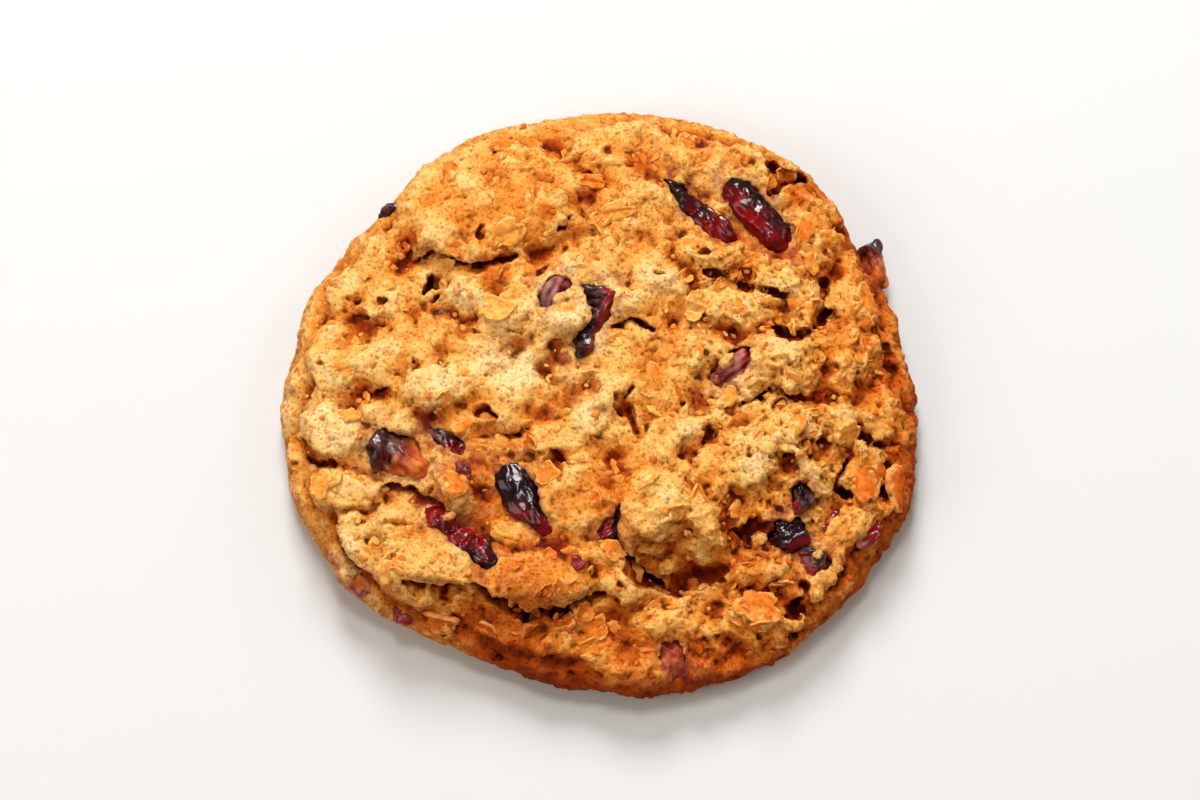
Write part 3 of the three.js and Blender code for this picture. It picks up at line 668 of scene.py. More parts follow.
def warp(piece, texture, reach, **settings):
    """Pushes the points of a piece about in all directions, by up to about half of `reach` mm."""
    add_modifier(piece, "DISPLACE", texture=texture, texture_coords="LOCAL", direction="RGB_TO_XYZ",
                 mid_level=0.5, strength=reach * MM, **settings)

xyz = points_of(dough)
near_rim = ramp(share_at(xyz[:, 0], xyz[:, 1]), 0.86, 0.97)
inward = add_group(dough, "away from the rim", 1 - 0.65 * near_rim)
for size, reach in ((9, 2.6), (3.6, 1.3), (1.4, 0.5)):
    warp(dough, cloud(f"warp {size}", size, 1, colour=True), reach, vertex_group=inward)
print("points held back near the rim:", int((near_rim > 0.5).sum()))

# %% Slice the foot flat
SLICE_WIDE, SLICE_HIGH = 0.1, 0.01  # metres
fresh()
bpy.ops.mesh.primitive_cube_add(
    size=1, location=(0, 0, -0.5 * SLICE_HIGH), scale=(SLICE_WIDE, SLICE_WIDE, SLICE_HIGH),
)
cut(dough, bpy.context.object)
print("lowest point, mm:", round(float(points_of(dough)[:, 2].min()), 3))

# %% [markdown]
# ## Dried fruit
# Dried cranberries are halves of a berry, folded and wrinkled as they lost their water. The skin side
# is nearly black and the cut side shines ruby red. A piece is made of a few overlapping balls, its
# lobes, joined into one skin. One displacement folds it. Two more raise ridges and wrinkles: their
# cloud pattern is read through an empty that is stretched along the fruit, so they run lengthwise.

# %% Where the fruit is
# each lobe: x, y, height of its top in mm, length, width, thickness in mm, turn in degrees
FRUIT = {
    "cranberry_01": [
        (10.2, 25.6, 11.8, 7.6, 2.2, 3.6, -52), (14.2, 21.8, 11.4, 7.2, 3.4, 3.6, -40),
        (12.4, 23.2, 11.5, 5, 2.6, 3.6, -50),
    ],
    "cranberry_02": [
        (19.8, 23.3, 11.9, 12.6, 4.4, 3.8, -50), (17.6, 25.8, 11.9, 6.4, 4.6, 3.8, -50),
        (21.6, 21.2, 11.7, 7, 4.2, 3.6, -52),
    ],
    "cranberry_03": [(34.3, 18.6, 4.9, 6.2, 3, 4.2, -70), (34, 20.2, 4.8, 3, 3.2, 4, -60)],
    "cranberry_04": [(-6.4, 12.2, 13.2, 5, 3.2, 3, 62), (-5.2, 13.6, 13.1, 3, 2.4, 2.6, 20)],
    "cranberry_05": [
        (-0.6, 12.4, 13.4, 3.8, 3, 3.6, 20), (0.9, 11.4, 13.1, 3.6, 2.4, 3.6, 75),
        (0.2, 9.2, 12.8, 5, 2, 3.4, 72), (-1.7, 6.3, 12.5, 4.6, 2.1, 3, 50),
    ],
    "cranberry_06": [(16.6, 3.1, 13.3, 6.4, 3.6, 3.6, 40), (15, 1.8, 12.8, 3.4, 2.6, 3, 20)],
    "cranberry_07": [
        (-25.4, -7.4, 12.8, 7.6, 6.4, 5, -35), (-27.4, -7.2, 12.4, 6, 2.8, 3.8, 78),
        (-22.6, -9.6, 12, 5, 2.8, 3.4, -28),
    ],
    "cranberry_08": [(-19, -6.4, 12, 6.6, 3, 3, -30), (-17.4, -7.4, 11.8, 3.4, 2.6, 2.8, -60)],
    "cranberry_09": [(-9.9, -13.1, 14, 8.8, 5.4, 3.4, -62), (-7.8, -16.4, 12.8, 6, 2.8, 3, -50)],
    "cranberry_10": [
        (-20, -16.1, 13, 4.4, 2.8, 3, -40), (-17, -18.9, 13, 9.4, 2.3, 3, -44),
        (-14.2, -21.3, 12.8, 5.2, 3.1, 3.2, -58),
    ],
    "cranberry_11": [(0.5, -18.2, 11.8, 4.6, 2.9, 3, 35)],
    "cranberry_12": [(25, -13.2, 11.6, 3.6, 2.8, 3, -60), (24.6, -14.4, 11.2, 2.4, 2, 2.4, 0)],
    "cranberry_13": [(22.7, -17.7, 12, 6, 4.2, 4.4, 18), (24.2, -18.8, 11.6, 4, 2.8, 3.4, 24)],
    "cranberry_14": [(26.6, -21.4, 9.9, 3.9, 3, 3, 10), (25.8, -20.6, 9.9, 2.4, 2.2, 2.6, 60)],
    "cranberry_15": [(8.9, -32.6, 9.2, 6, 4.1, 3.6, -60), (8.2, -33.8, 8.7, 3, 2.6, 2.8, 20)],
    "cranberry_16": [(-30.5, -23.3, 6.4, 6.2, 2.9, 3.3, -42)],
}
# small bits of skin on the crust: x, y, length, width in mm, turn in degrees
SCRAPS = [
    (-19.3, 10, 2.4, 2, 20), (-17.4, -10.4, 3.4, 1.6, -30), (-2.5, -22.3, 2, 1.6, -40),
    (28.4, -15.6, 2.6, 1.5, 50), (33, -18, 4, 2, 55), (-24.6, -27.6, 2.8, 1.6, -36),
    (-26.6, 24.6, 2.6, 1.6, 45),
]

print("pieces of fruit:", len(FRUIT), "scraps:", len(SCRAPS))

# %% How far the fruit stands out
# mm that a piece of fruit stands out of the dough round it, and where that is another amount
PROUD = 0.7
OTHERWISE_PROUD = {"04": -0.1, "05": 0.4, "06": 0.2, "07": 0.9, "08": 0.1, "11": 0, "15": -0.2}
RING_SAMPLES = 8
SKIRT_TOP = 2  # mm, lower samples of the ring are off the cookie or on its skirt
ON_TOP = 0.93  # share of the rim's radius past which a piece hangs on the side wall

def dough_level(x, y, reach):
    """The mean height in mm of the dough in a ring round a place, where the ring is on the cookie."""
    turns = [math.tau * k / RING_SAMPLES for k in range(RING_SAMPLES)]
    heights = [top_at(x + reach * math.cos(a), y + reach * math.sin(a)) for a in turns]
    heights = [h for h in heights if h > SKIRT_TOP]
    return sum(heights) / len(heights)

top_at = top_finder(dough)
for name, lobes in FRUIT.items():
    proud = OTHERWISE_PROUD.get(name[-2:], PROUD)
    for i, (x, y, top, length, width, thick, turn) in enumerate(lobes):
        level = dough_level(x, y, 0.25 * (length + width) + 0.8)
        if share_at(x, y) < ON_TOP:
            lobes[i] = (x, y, min(top, level + proud), length, width, thick, turn)
    print(name, "top", round(max(lobe[2] for lobe in lobes), 1))

# %% The pieces of fruit
LOBE_RADIUS = 0.52  # just over half, because a ball with few faces is smaller than a round one

def add_lobes(lobes):
    """Adds the balls of one piece of fruit to the mesh being edited."""
    for x, y, top, length, width, thick, turn in lobes:
        add_ball((x, y, top - thick / 2), (0, 0, math.radians(turn)), (length, width, thick),
                 radius=LOBE_RADIUS)

def along(lobes, stretch):
    """An empty at a fruit, stretched along it, to read textures through."""
    x, y, top, _, _, _, turn = lobes[0]
    fresh()
    bpy.ops.object.empty_add(location=(x * MM, y * MM, top * MM), rotation=(0, 0, math.radians(turn)))
    empty = bpy.context.object
    empty.scale = (stretch, 1, 1)
    bpy.context.view_layer.update()
    return empty

# how strongly a piece is folded, where it isn't 1
FOLDED = {"01": 0.7, "02": 0.3, "04": 0.6, "06": 0.5, "07": 0.5, "08": 0.6, "09": 0.4, "15": 0.6}

fruits = []
fold = cloud("fold", 2.6, 1, colour=True)
ridge = cloud("ridge", 1.6, 1, hard=True)
wrinkle = cloud("wrinkle", 0.7, 1)
for name, lobes in FRUIT.items():
    fruit = new_shape(name.replace("cranberry", "dried_cranberry"))
    add_lobes(lobes)
    fresh()
    reskin(fruit, 0.17)
    add_modifier(fruit, "SMOOTH", factor=0.5, iterations=4)
    folded = FOLDED.get(name[-2:], 1)
    warp(fruit, fold, 2 * folded)
    guide = along(lobes, 4)
    for texture, reach, middle in ((ridge, 0.9, 0.35), (wrinkle, 0.16, 0.5)):
        add_modifier(fruit, "DISPLACE", texture=texture, texture_coords="OBJECT",
                     texture_coords_object=guide, mid_level=middle, strength=reach * folded * MM)
    bpy.data.objects.remove(guide)
    fruits.append(fruit)
print("fruit:", len(fruits), "pieces,", sum(len(f.data.polygons) for f in fruits), "faces")

# %% Fruit scraps
scraps = new_shape("fruit_scraps")
top_at = top_finder(dough)
for x, y, length, width, turn in SCRAPS:
    add_lobes([(x, y, top_at(x, y) + 0.2, length * 1.2, width * 1.2, 0.9, turn)])
fresh()
reskin(scraps, 0.14)
warp(scraps, fold, 1.6)
add_modifier(scraps, "DISPLACE", texture=wrinkle, texture_coords="LOCAL", mid_level=0.3, strength=-0.4 * MM)
print("scraps:", len(scraps.data.polygons), "faces")

# %% [markdown]
# Each piece of fruit is held by the dough, which clings to its flanks. Smaller copies of the fruit, each
# lifted a little further, cut the dough away above it, so that its top shows and the dough's edge is
# ragged. Over a few pieces some dough has run, as small lumps that bridge them.

# %% Copies
def copy_to(model, matrix):
    """A copy of a model with its own mesh, moved by a matrix."""
    pick(model)
    bpy.ops.object.duplicate(linked=False)
    made = bpy.context.object
    made.matrix_world = matrix
    return made

# %% Pockets
def opening(fruit, lift, share):
    """A copy of a fruit, shrunk about its middle and lifted by some mm."""
    box = points_of(fruit)
    middle = Matrix.Translation(Vector(0.5 * (box.min(0) + box.max(0))) * MM)
    lifted = Matrix.Translation((0, 0, lift * MM)) @ middle
    return copy_to(fruit, lifted @ Matrix.Scale(share, 4) @ middle.inverted())

# how large an opening is beside its fruit, and where that is another share
OPENING = 0.82
OTHER_OPENINGS = {"04": 0.92, "06": 0.9, "08": 0.76, "11": 0.76, "15": 0.7, "16": 0.7}
OPENING_LIFTS = (0.3, 0.8, 1.3)  # mm
openings = []
for fruit in fruits:
    share = OTHER_OPENINGS.get(fruit.name[-2:], OPENING)
    openings += [opening(fruit, lift, share) for lift in OPENING_LIFTS]
pockets = joined(openings, "pockets")
reskin(pockets, 0.25)
cut(dough, pockets)
print("pockets cut:", len(fruits))

# %% Dough over the fruit
# x, y, height of the top, length, width, thickness in mm, turn in degrees
BRIDGES = [
    (15.8, 3.2, 13.7, 2.8, 2.2, 2.2, 60), (-5.2, 11.2, 13.4, 2, 1.6, 1.6, 40),
    (34.8, 16.8, 5, 3.4, 2.6, 3.4, -72), (-31.4, -22.6, 6.6, 2.6, 2, 2, -40),
    (-18.6, -16.6, 12.9, 1.8, 1.2, 1.4, 30), (27, -20.8, 10, 1.8, 1.4, 1.4, 10),
]
pick(dough)
bpy.ops.object.mode_set(mode="EDIT")
add_lobes(BRIDGES)
fresh()
print("bridges:", len(BRIDGES))

# %% [markdown]
# ## Crumb
# A fresh skin of fine cells carries the grain of the crust. Soft clouds make it uneven, hard clouds
# crease it, and where the dough is broken up, most of all at the right, a cell pattern parts it into
# grains with sharp valleys between them. Points deep in a crack are held back, so that it stays open.

# %% How deep a point lies
def edges_of(piece):
    """The numbers of the two points of each edge, as an array."""
    flat = np.empty(2 * len(piece.data.edges), dtype=int)
    piece.data.edges.foreach_get("vertices", flat)
    return flat.reshape(-1, 2)

def smoothed(points, edges, rounds):
    """Every point drawn towards the mean of its neighbours, round after round."""
    a, b = edges[:, 0], edges[:, 1]
    count = np.bincount(edges.ravel(), minlength=len(points))
    points = points.copy()
    for _ in range(rounds):
        for k in range(3):
            p = points[:, k]
            total = np.bincount(a, p[b], len(p)) + np.bincount(b, p[a], len(p))
            points[:, k] = 0.5 * p + 0.5 * total / count
    return points

# %% Crumb
reskin(dough, 0.24)
print("fine skin:", len(dough.data.vertices), "points")
xyz = points_of(dough)
x, y, z = xyz.T
raised = ramp(z, 0.3, 1.5)
depth = smoothed(xyz, edges_of(dough), 60)[:, 2] - z
in_cracks = ramp(depth, 0.25, 0.9)
rough = raised * np.clip(0.85 + 0.2 * np.tanh((x - 10) / 10), 0, 1) * (1 - 0.9 * in_cracks)
print("points held back in cracks:", int((in_cracks > 0).sum()))
above = add_group(dough, "above the tray", raised)
on_tray = add_group(dough, "on the tray", 1 - ramp(z, 0.1, 0.9))
crumbled = add_group(dough, "crumbled", rough)
add_modifier(dough, "SMOOTH", factor=0.5, iterations=1, vertex_group=above)
patchy = np.array([noise.noise(Vector(p) * 0.4) for p in xyz])
porous = add_group(dough, "porous", raised * ramp(patchy, -0.05, 0.3))
broken = add_group(dough, "broken up", raised * ramp(crumbly(x, y), 0.3, 0.9))
# a texture, its reach in mm, the value that leaves a point where it is, and the points it moves
CRUMB_STEPS = [
    (cloud("knobbly", 2.4, 2), 0.55, 0.5, crumbled),
    (cloud("creased", 3.4, 2, hard=True), 0.8, 0.35, crumbled),
    (grains("lumps", 2.4), 0.5, 0.4, broken),
    (cloud("knots", 1.2, 1), 0.3, 0.5, crumbled),
    (cloud("fine", 0.6, 3), 0.45, 0.5, crumbled),
    (pores("pores", 1.5, 0.42), 0.16, 1, porous),
]
for texture, reach, middle, group in CRUMB_STEPS:
    add_modifier(dough, "DISPLACE", texture=texture, texture_coords="LOCAL", mid_level=middle,
                 strength=reach * MM, vertex_group=group)

# %% [markdown]
# The underside took its shape from the tray. It rests on broad patches, and steam has left shallow
# hollows between them. So the points near the tray are only ever lifted: a cloud with strong contrast
# stays at nothing over the patches that touch.

# %% Underside
for texture, reach in ((cloud("steam hollows", 4, 3), 0.4), (cloud("small blisters", 1, 2), 0.2)):
    texture.contrast = 2.2
    texture.intensity = 0.9
    add_modifier(dough, "DISPLACE", texture=texture, texture_coords="LOCAL", direction="Z", mid_level=0,
                 strength=reach * MM, vertex_group=on_tray)
print("underside lifted up to, mm:", round(float(points_of(dough)[raised < 0.1, 2].max()), 2))

# %% [markdown]
# The skin has more points than it needs. Flat stretches, and the underside most of all, give theirs up
# first, until the piece has no more than 196,000 triangles.

# %% Thin the mesh
MOST_TRIANGLES = 196_000
UNDERSIDE_TOP = 0.6  # mm
UNDERSIDE_KEPT = 0.12  # share of its faces
PRESSED_BELOW = 0.01  # mm

def triangles(piece):
    """How many triangles a piece has."""
    return sum(len(p.vertices) - 2 for p in piece.data.polygons)

def select_points(piece, chosen):
    """Opens a piece for editing with only the chosen points selected."""
    pick(piece)
    bpy.ops.object.mode_set(mode="EDIT")
    bpy.ops.mesh.select_mode(type="VERT")
    bpy.ops.mesh.select_all(action="DESELECT")
    bpy.ops.object.mode_set(mode="OBJECT")
    piece.data.vertices.foreach_set("select", chosen)
    bpy.ops.object.mode_set(mode="EDIT")

select_points(dough, points_of(dough)[:, 2] < UNDERSIDE_TOP)
bpy.ops.mesh.decimate(ratio=UNDERSIDE_KEPT)
bpy.ops.object.mode_set(mode="OBJECT")
print("underside thinned:", triangles(dough), "triangles")
if triangles(dough) > MOST_TRIANGLES:
    add_modifier(dough, "DECIMATE", ratio=MOST_TRIANGLES / triangles(dough))
# what came out below the tray is pressed flat on it
select_points(dough, points_of(dough)[:, 2] < PRESSED_BELOW)
bpy.ops.transform.resize(value=(1, 1, 0), center_override=(0, 0, 0))
bpy.ops.object.mode_set(mode="OBJECT")
dough.vertex_groups.clear()
box = points_of(dough)
print("dough:", triangles(dough), "triangles, box mm:", box.min(0).round(1), box.max(0).round(1))

# %% [markdown]
# ## Oat flakes
# Rolled oats are flat ovals, about 6 mm long and a millimetre thick once baked, with a crease along the
# middle and a torn edge. Three whole flakes and three torn ones are modelled: a ball pressed flat,
# roughened, creased and curled. The whole ones are copied to the places where flakes show, laid on the
# crust and pressed in so that one edge stands proud. Small torn ones are strewn between them.

# %% Whole and torn flakes
FLAKE_LENGTH, FLAKE_WIDTH, FLAKE_THICK = 6, 4, 0.75

def flake(name, seed, curl, detail=4):
    """One rolled oat of the standard size, centred on the origin."""
    fresh()
    bpy.ops.mesh.primitive_ico_sphere_add(subdivisions=detail, radius=0.5)
    piece = bpy.context.object
    piece.name = name
    rims = []  # how near the edge each point is
    for v in piece.data.vertices:
        x, y, z = v.co * 2
        edge = 1 + 0.4 * noise.noise((1.7 * x + seed, 1.7 * y, seed))
        edge += 0.16 * noise.noise((5 * x, 5 * y, seed))
        crease = 0.35 * math.exp(-(y / 0.12) ** 2) * (1 - x * x)
        ribs = 0.06 * math.sin(17 * y + 2 * noise.noise((3 * x, 3 * y, seed)))
        side = math.copysign(abs(z) ** 0.45, z)
        rise = side * (1 - crease + ribs) + 0.5 * noise.noise((1.6 * x, 1.6 * y, seed + 5))
        bend = curl * (y * y - 0.3) + 0.5 * curl * x * abs(x)
        height = rise * FLAKE_THICK / 2 + bend
        v.co = (x * edge * FLAKE_LENGTH / 2 * MM, y * edge * FLAKE_WIDTH / 2 * MM, height * MM)
        rims.append(math.hypot(x, y) ** 3)
    store(piece, "rim", rims)
    return piece

flakes = [flake("flake_a", 3, 0.5), flake("flake_b", 11, -0.4), flake("flake_c", 27, 0.15)]
torn = [flake("torn_a", 5, 0.6, 3), flake("torn_b", 14, -0.5, 3), flake("torn_c", 31, 0.3, 3)]
print("a flake:", len(flakes[0].data.polygons), "faces, a torn one:", len(torn[0].data.polygons))

# %% Where the flakes lie
# x, y, length, width in mm, turn in degrees, tilt in degrees (one edge up)
OATS = [
    (-11.8, 19.8, 5.4, 3.6, 25, 14), (1.4, 23, 6.4, 2.6, 5, 24), (-1, 27.4, 4, 2, -5, 10),
    (-8.5, 33, 3.4, 2, -60, 8), (-12, 32.6, 3.6, 2, 20, 8), (-13, 10, 5.6, 3.2, -15, 4),
    (6.2, 1.2, 6.6, 3.8, -56, 14), (33.3, -10.2, 7.2, 4, 82, 12), (37, -11.4, 6, 3, 84, 20),
    (-31, -3.3, 2.6, 2.2, 30, 14), (-32, 2.6, 3.4, 2.4, 15, 12), (-18, -12.8, 3.6, 3, -65, 26),
    (-11.6, -18.8, 3.8, 2, -20, 12), (-6.6, -11, 3.4, 3, -40, 12), (19.4, -27.2, 6.4, 4.4, -15, 8),
    (21.6, -24.6, 2.8, 2.4, 0, 12), (-4.4, -28.8, 3.4, 2.8, -70, 10), (-0.6, -29.6, 3.6, 3, 30, 8),
    (-20, -28.2, 6, 3, 5, 10), (16.6, -18.6, 3.8, 2, -30, 16), (25.6, 20.8, 4, 2.2, 80, 18),
    (29.4, -17.6, 5, 2.8, 55, 14), (11.6, 10.2, 3.4, 2.4, -15, 12), (-34.6, -12, 4.4, 3, 75, 16),
    (26.2, 10.2, 3, 2, 70, 16), (-10.6, 12.2, 3.6, 2.4, 20, 12), (1.6, -20.6, 3.4, 2.4, -35, 10),
    (33.5, 12, 4.6, 3, -50, 10), (30.8, -5.4, 4, 3, 15, 12),
]

print("flakes that show:", len(OATS))

# %% How a thing lies on the crust
def skin_finder(piece):
    """A function that gives the place and the normal of the highest skin of a piece at x, y in mm."""
    tree = BVHTree.FromObject(piece, bpy.context.evaluated_depsgraph_get())
    def skin_at(x, y):
        return tree.ray_cast(Vector((x * MM, y * MM, ABOVE_ALL)), DOWN)[:2]
    return skin_at

skin_at = skin_finder(dough)

def broad_normal(x, y, reach=1.2):
    """The crust's normal at a place, taken over a few mm, so that a flake bridges small pits."""
    around = [skin_at(x + dx * reach, y + dy * reach)[0] for dx, dy in ((1, 0), (0, 1), (-1, 0), (0, -1))]
    if None in around:
        return Vector((0, 0, 1))
    east, north, west, south = around
    return (east - west).cross(north - south).normalized()

def laid(x, y, lift, turn, tilt, scale):
    """Where a thing stands that lies on the crust, lifted by some mm, turned and tilted."""
    place = skin_at(x, y)[0]
    lean = broad_normal(x, y).to_track_quat("Z", "Y").to_matrix().to_4x4()
    # the track quaternion may turn the piece about its normal, so the turn is measured from east again
    east = lean.inverted() @ Vector((1, 0, 0))
    spin = Matrix.Rotation(math.radians(turn) + math.atan2(east.y, east.x), 4, "Z")
    matrix = Matrix.Translation(place) @ lean @ spin @ Matrix.Rotation(math.radians(tilt), 4, "X")
    return matrix @ Matrix.Translation((0, 0, lift * MM)) @ Matrix.Diagonal((*scale, 1))

# %% Clear of pits and fruit
WIDE_PIT = 1.4  # mm, over which a pit stays free of flakes and crumbs

def near_pit(x, y, gap):
    """Whether a place is closer than `gap` mm to one of the wider pits."""
    wide = [pit for pit in PITS if pit[2] > WIDE_PIT]
    return any(math.hypot(x - px, y - py) < 0.5 * width + gap for px, py, width, _ in wide)

def near_fruit(x, y, gap):
    """Whether a place is closer than `gap` mm to a piece of fruit."""
    for lobes in FRUIT.values():
        for fx, fy, _, length, width, _, turn in lobes:
            dx, dy = x - fx, y - fy
            c, s = math.cos(math.radians(turn)), math.sin(math.radians(turn))
            off_length = (c * dx + s * dy) / (length / 2 + gap)
            off_width = (c * dy - s * dx) / (width / 2 + gap)
            if math.hypot(off_length, off_width) < 1:
                return True
    return False

# %% Lay the flakes
def shade_each(copies, rng):
    """Gives every copy a shade of its own, from 0 to 1."""
    for c in copies:
        store(c, "shade", np.full(len(c.data.vertices), rng.random()))

PRESSED_IN, TORN_PRESSED_IN = 0.15, 0.25  # mm
SMALL_FLAKES = 330
SMALL_LENGTH = (1.3, 3.2)  # mm
rng = random.Random(5)
copies = []
for x, y, length, width, turn, tilt in OATS:
    size = (length / FLAKE_LENGTH, width / FLAKE_WIDTH, rng.uniform(1.2, 1.8))
    copies.append(copy_to(rng.choice(flakes), laid(x, y, -PRESSED_IN, turn, 0.9 * tilt, size)))
for x, y in spread_places(SMALL_FLAKES, 0.93, rng):
    if near_fruit(x, y, 0.6) or near_pit(x, y, 1) or rng.random() > 0.45 + 0.55 * crumbly(x, y):
        continue
    length = rng.uniform(*SMALL_LENGTH)
    size = (length / FLAKE_LENGTH, length * rng.uniform(0.5, 0.8) / FLAKE_WIDTH, rng.uniform(0.7, 1.2))
    model = rng.choice(torn)
    turn, tilt = rng.uniform(0, 180), rng.uniform(-34, 34)
    copies.append(copy_to(model, laid(x, y, -TORN_PRESSED_IN, turn, tilt, size)))
shade_each(copies, rng)
oats = joined(copies, "oat_flakes")
print("flakes:", len(copies), "and", len(oats.data.polygons), "faces")

# %% [markdown]
# ## Crumbs
# Hundreds of crumbs and bits of oat cling to the crust. Three angular grains are modelled and copied
# over the top with random sizes. They give the crust its crisp edges.

# %% Three grains
def grain(name, seed, sharp):
    """One crumb, 1 mm across: a ball with few faces, its corners pushed about, then cut finer."""
    fresh()
    bpy.ops.mesh.primitive_ico_sphere_add(subdivisions=1, radius=0.5 * MM)
    piece = bpy.context.object
    piece.name = name
    for v in piece.data.vertices:
        v.co *= 1 + sharp * noise.noise(v.co / MM * 3 + Vector((seed, 0, 0)))
    bpy.ops.object.mode_set(mode="EDIT")
    bpy.ops.mesh.select_all(action="SELECT")
    bpy.ops.mesh.subdivide(number_cuts=3, smoothness=0)
    bpy.ops.object.mode_set(mode="OBJECT")
    for v in piece.data.vertices:
        v.co *= 1 + 0.3 * noise.noise(v.co / MM * 6 + Vector((seed, 0, 0)))
    return piece

grains_made = [grain("crumb_a", 2, 0.7), grain("crumb_b", 9, 1.1), grain("crumb_c", 23, 0.9)]
print("a crumb:", len(grains_made[0].data.polygons), "faces")

# %% Crumbs
copies = []
CRUMBS = 900
CRUMB_LIMIT = 0.975  # share of the rim's radius
for x, y in spread_places(CRUMBS, 0.985, rng):
    x, y = x + rng.uniform(-1, 1), y + rng.uniform(-1, 1)
    barred = near_fruit(x, y, 0.3) or near_pit(x, y, 0.2) or share_at(x, y) > CRUMB_LIMIT
    if barred or rng.random() > 0.35 + 0.65 * crumbly(x, y) or skin_at(x, y)[0] is None:
        continue
    size = rng.uniform(0.5, 1.3) * rng.uniform(0.7, 1)
    scale = (size * rng.uniform(0.9, 1.6), size, size * rng.uniform(0.6, 0.9))
    model = rng.choice(grains_made)
    turn, tilt = rng.uniform(0, 360), rng.uniform(-20, 20)
    copies.append(copy_to(model, laid(x, y, -0.05 * size, turn, tilt, scale)))
shade_each(copies, rng)
crumbs = joined(copies, "crumbs")
print("crumbs:", len(copies), "and", len(crumbs.data.polygons), "faces")
for model in flakes + torn + grains_made:
    bpy.data.objects.remove(model)

# %% [markdown]
# ## What the crust knows about itself
# Baking browns a cookie from outside: the rim and the low skirt most, the thick middle least. Juice
# stains the dough round the fruit, and hollows and low ground get painted shade. These are measured on
# the finished shape, point by point, and stored as attributes that the materials read.

# %% Directions and distances
def normals_of(piece):
    """The outward direction at each point of a piece, as an array."""
    flat = np.empty(3 * len(piece.data.vertices))
    piece.data.vertex_normals.foreach_get("vector", flat)
    return flat.reshape(-1, 3)

def fruit_distance(xyz):
    """Distance in mm from each point to the nearest lobe's skin, roughly."""
    nearest = np.full(len(xyz), 99.0)
    for lobes in FRUIT.values():
        for x, y, top, length, width, thick, turn in lobes:
            c, s = math.cos(math.radians(turn)), math.sin(math.radians(turn))
            dx, dy, dz = xyz[:, 0] - x, xyz[:, 1] - y, xyz[:, 2] - (top - thick / 2)
            u, v = (c * dx + s * dy) / (length / 2), (c * dy - s * dx) / (width / 2)
            far = np.sqrt(u * u + v * v + (dz / (thick / 2)) ** 2)
            nearest = np.minimum(nearest, (far - 1) * 0.5 * min(length, width, thick))
    return nearest

def bump_at(xyz, x, y, reach):
    """1 at a place on the crust, falling to 0 at some mm from it."""
    return 1 - ramp(np.hypot(xyz[:, 0] - x, xyz[:, 1] - y), 0.3 * reach, reach)

# %% Where the crust is darker or paler
# x, y and reach in mm of small darker spots, mostly painted shade in creases, a pit and a recess
BROWN_SPOTS = [(5, 29.5, 2.6), (-6.5, 22.5, 1.8), (-24, 19.5, 2.2), (25, 27, 3), (-13.5, 15.5, 3)]
# x, y and reach in mm of wide, weak darker patches, each with its strength
BROWN_PATCHES = [
    (-12, -6, 11, 0.24), (-3, -18, 12, 0.17), (-11, -28.5, 10, 0.34), (20, -20.5, 10, 0.2),
    (-11, 20, 10, 0.18), (6, 3, 10, 0.2), (17, 18, 8, 0.12), (3, -8, 8, 0.12),
]
# the same for patches that are paler
PALE_PATCHES = [(-11.5, 3.5, 6, 0.3), (18, -8, 5, 0.15), (-36, 0, 7, 0.1), (-28, -20, 6, 0.14)]

BAKED_MIDDLE = 0.4
BROWN_SPOT = 0.35

def baked_at(xyz):
    """How baked each point is, from 0 to 1: least in the thick middle, most at the near right rim."""
    x, y, z = xyz.T
    warm_side = np.clip(ramp(x, 22, 37) + ramp(-y, 26, 37) * ramp(x, -24, -4), 0, 1)
    at_rim, low_down = ramp(share_at(x, y), 0.78, 1), ramp(-z, -7.5, -2.5)
    at_far_side, at_near_side = ramp(y, 12, 26), ramp(-y, 18, 30)
    baked = BAKED_MIDDLE + (0.04 + 0.2 * warm_side) * at_rim + (0.04 + 0.26 * warm_side) * low_down
    baked += 0.1 * warm_side - 0.14 * bump_at(xyz, -5, 4, 24) + 0.05 * at_far_side + 0.1 * at_near_side
    baked += sum(strength * bump_at(xyz, *patch) for *patch, strength in BROWN_PATCHES)
    baked -= sum(strength * bump_at(xyz, *patch) for *patch, strength in PALE_PATCHES)
    baked += 0.24 * ramp(-z, -0.9, -0.1)  # browned by the tray
    # the small darker spots are mostly painted shade
    return baked + sum(BROWN_SPOT * bump_at(xyz, *spot) for spot in BROWN_SPOTS)

# %% Measure the crust
NEAR_ROUNDS, BROAD_ROUNDS = 14, 130  # rounds of smoothing for a hollow and for a valley

def measures_of(piece):
    """How baked (with painted shade on low ground), hollow, low, steep and stained each crust point is."""
    xyz, n, edges = points_of(piece), normals_of(piece), edges_of(piece)
    near = smoothed(xyz, edges, NEAR_ROUNDS)
    broad = smoothed(near, edges, BROAD_ROUNDS)
    valley = ((broad - near) * n).sum(1)
    return {
        # the valley term is painted shade and light: low ground darker, raised ground paler
        "baked": baked_at(xyz) + 0.5 * np.clip(valley, -0.4, 0.8),
        "hollow": ((near - xyz) * n).sum(1),  # mm below the skin close by
        "valley": valley,  # mm below the skin further off
        "deep": broad[:, 2] - xyz[:, 2],  # mm, the same but straight down, for cracks and pits
        "steep": ramp(1 - smoothed(n, edges, 10)[:, 2], 0.12, 0.65),
        "stain": 1 - ramp(fruit_distance(xyz), 0.2, 2.4),
    }

for label, values in measures_of(dough).items():
    store(dough, label, values)
    print(label, np.percentile(values, (1, 10, 50, 90, 99)).round(2))
for piece in (oats, crumbs):
    store(piece, "baked", baked_at(points_of(piece)))

# %% [markdown]
# ## Materials
# All colours are mixed in nodes. A few helpers keep that short: one adds a node and sets or links its
# inputs, the others add the noises, ramps and mixes that every material here is made of.

# %% Node helpers
def tint(red, green, blue):
    """A colour given in the usual 0 to 255 values, made linear."""
    values = [c / 255 for c in (red, green, blue)]
    return (*[v / 12.92 if v < 0.04045 else ((v + 0.055) / 1.055) ** 2.4 for v in values], 1)

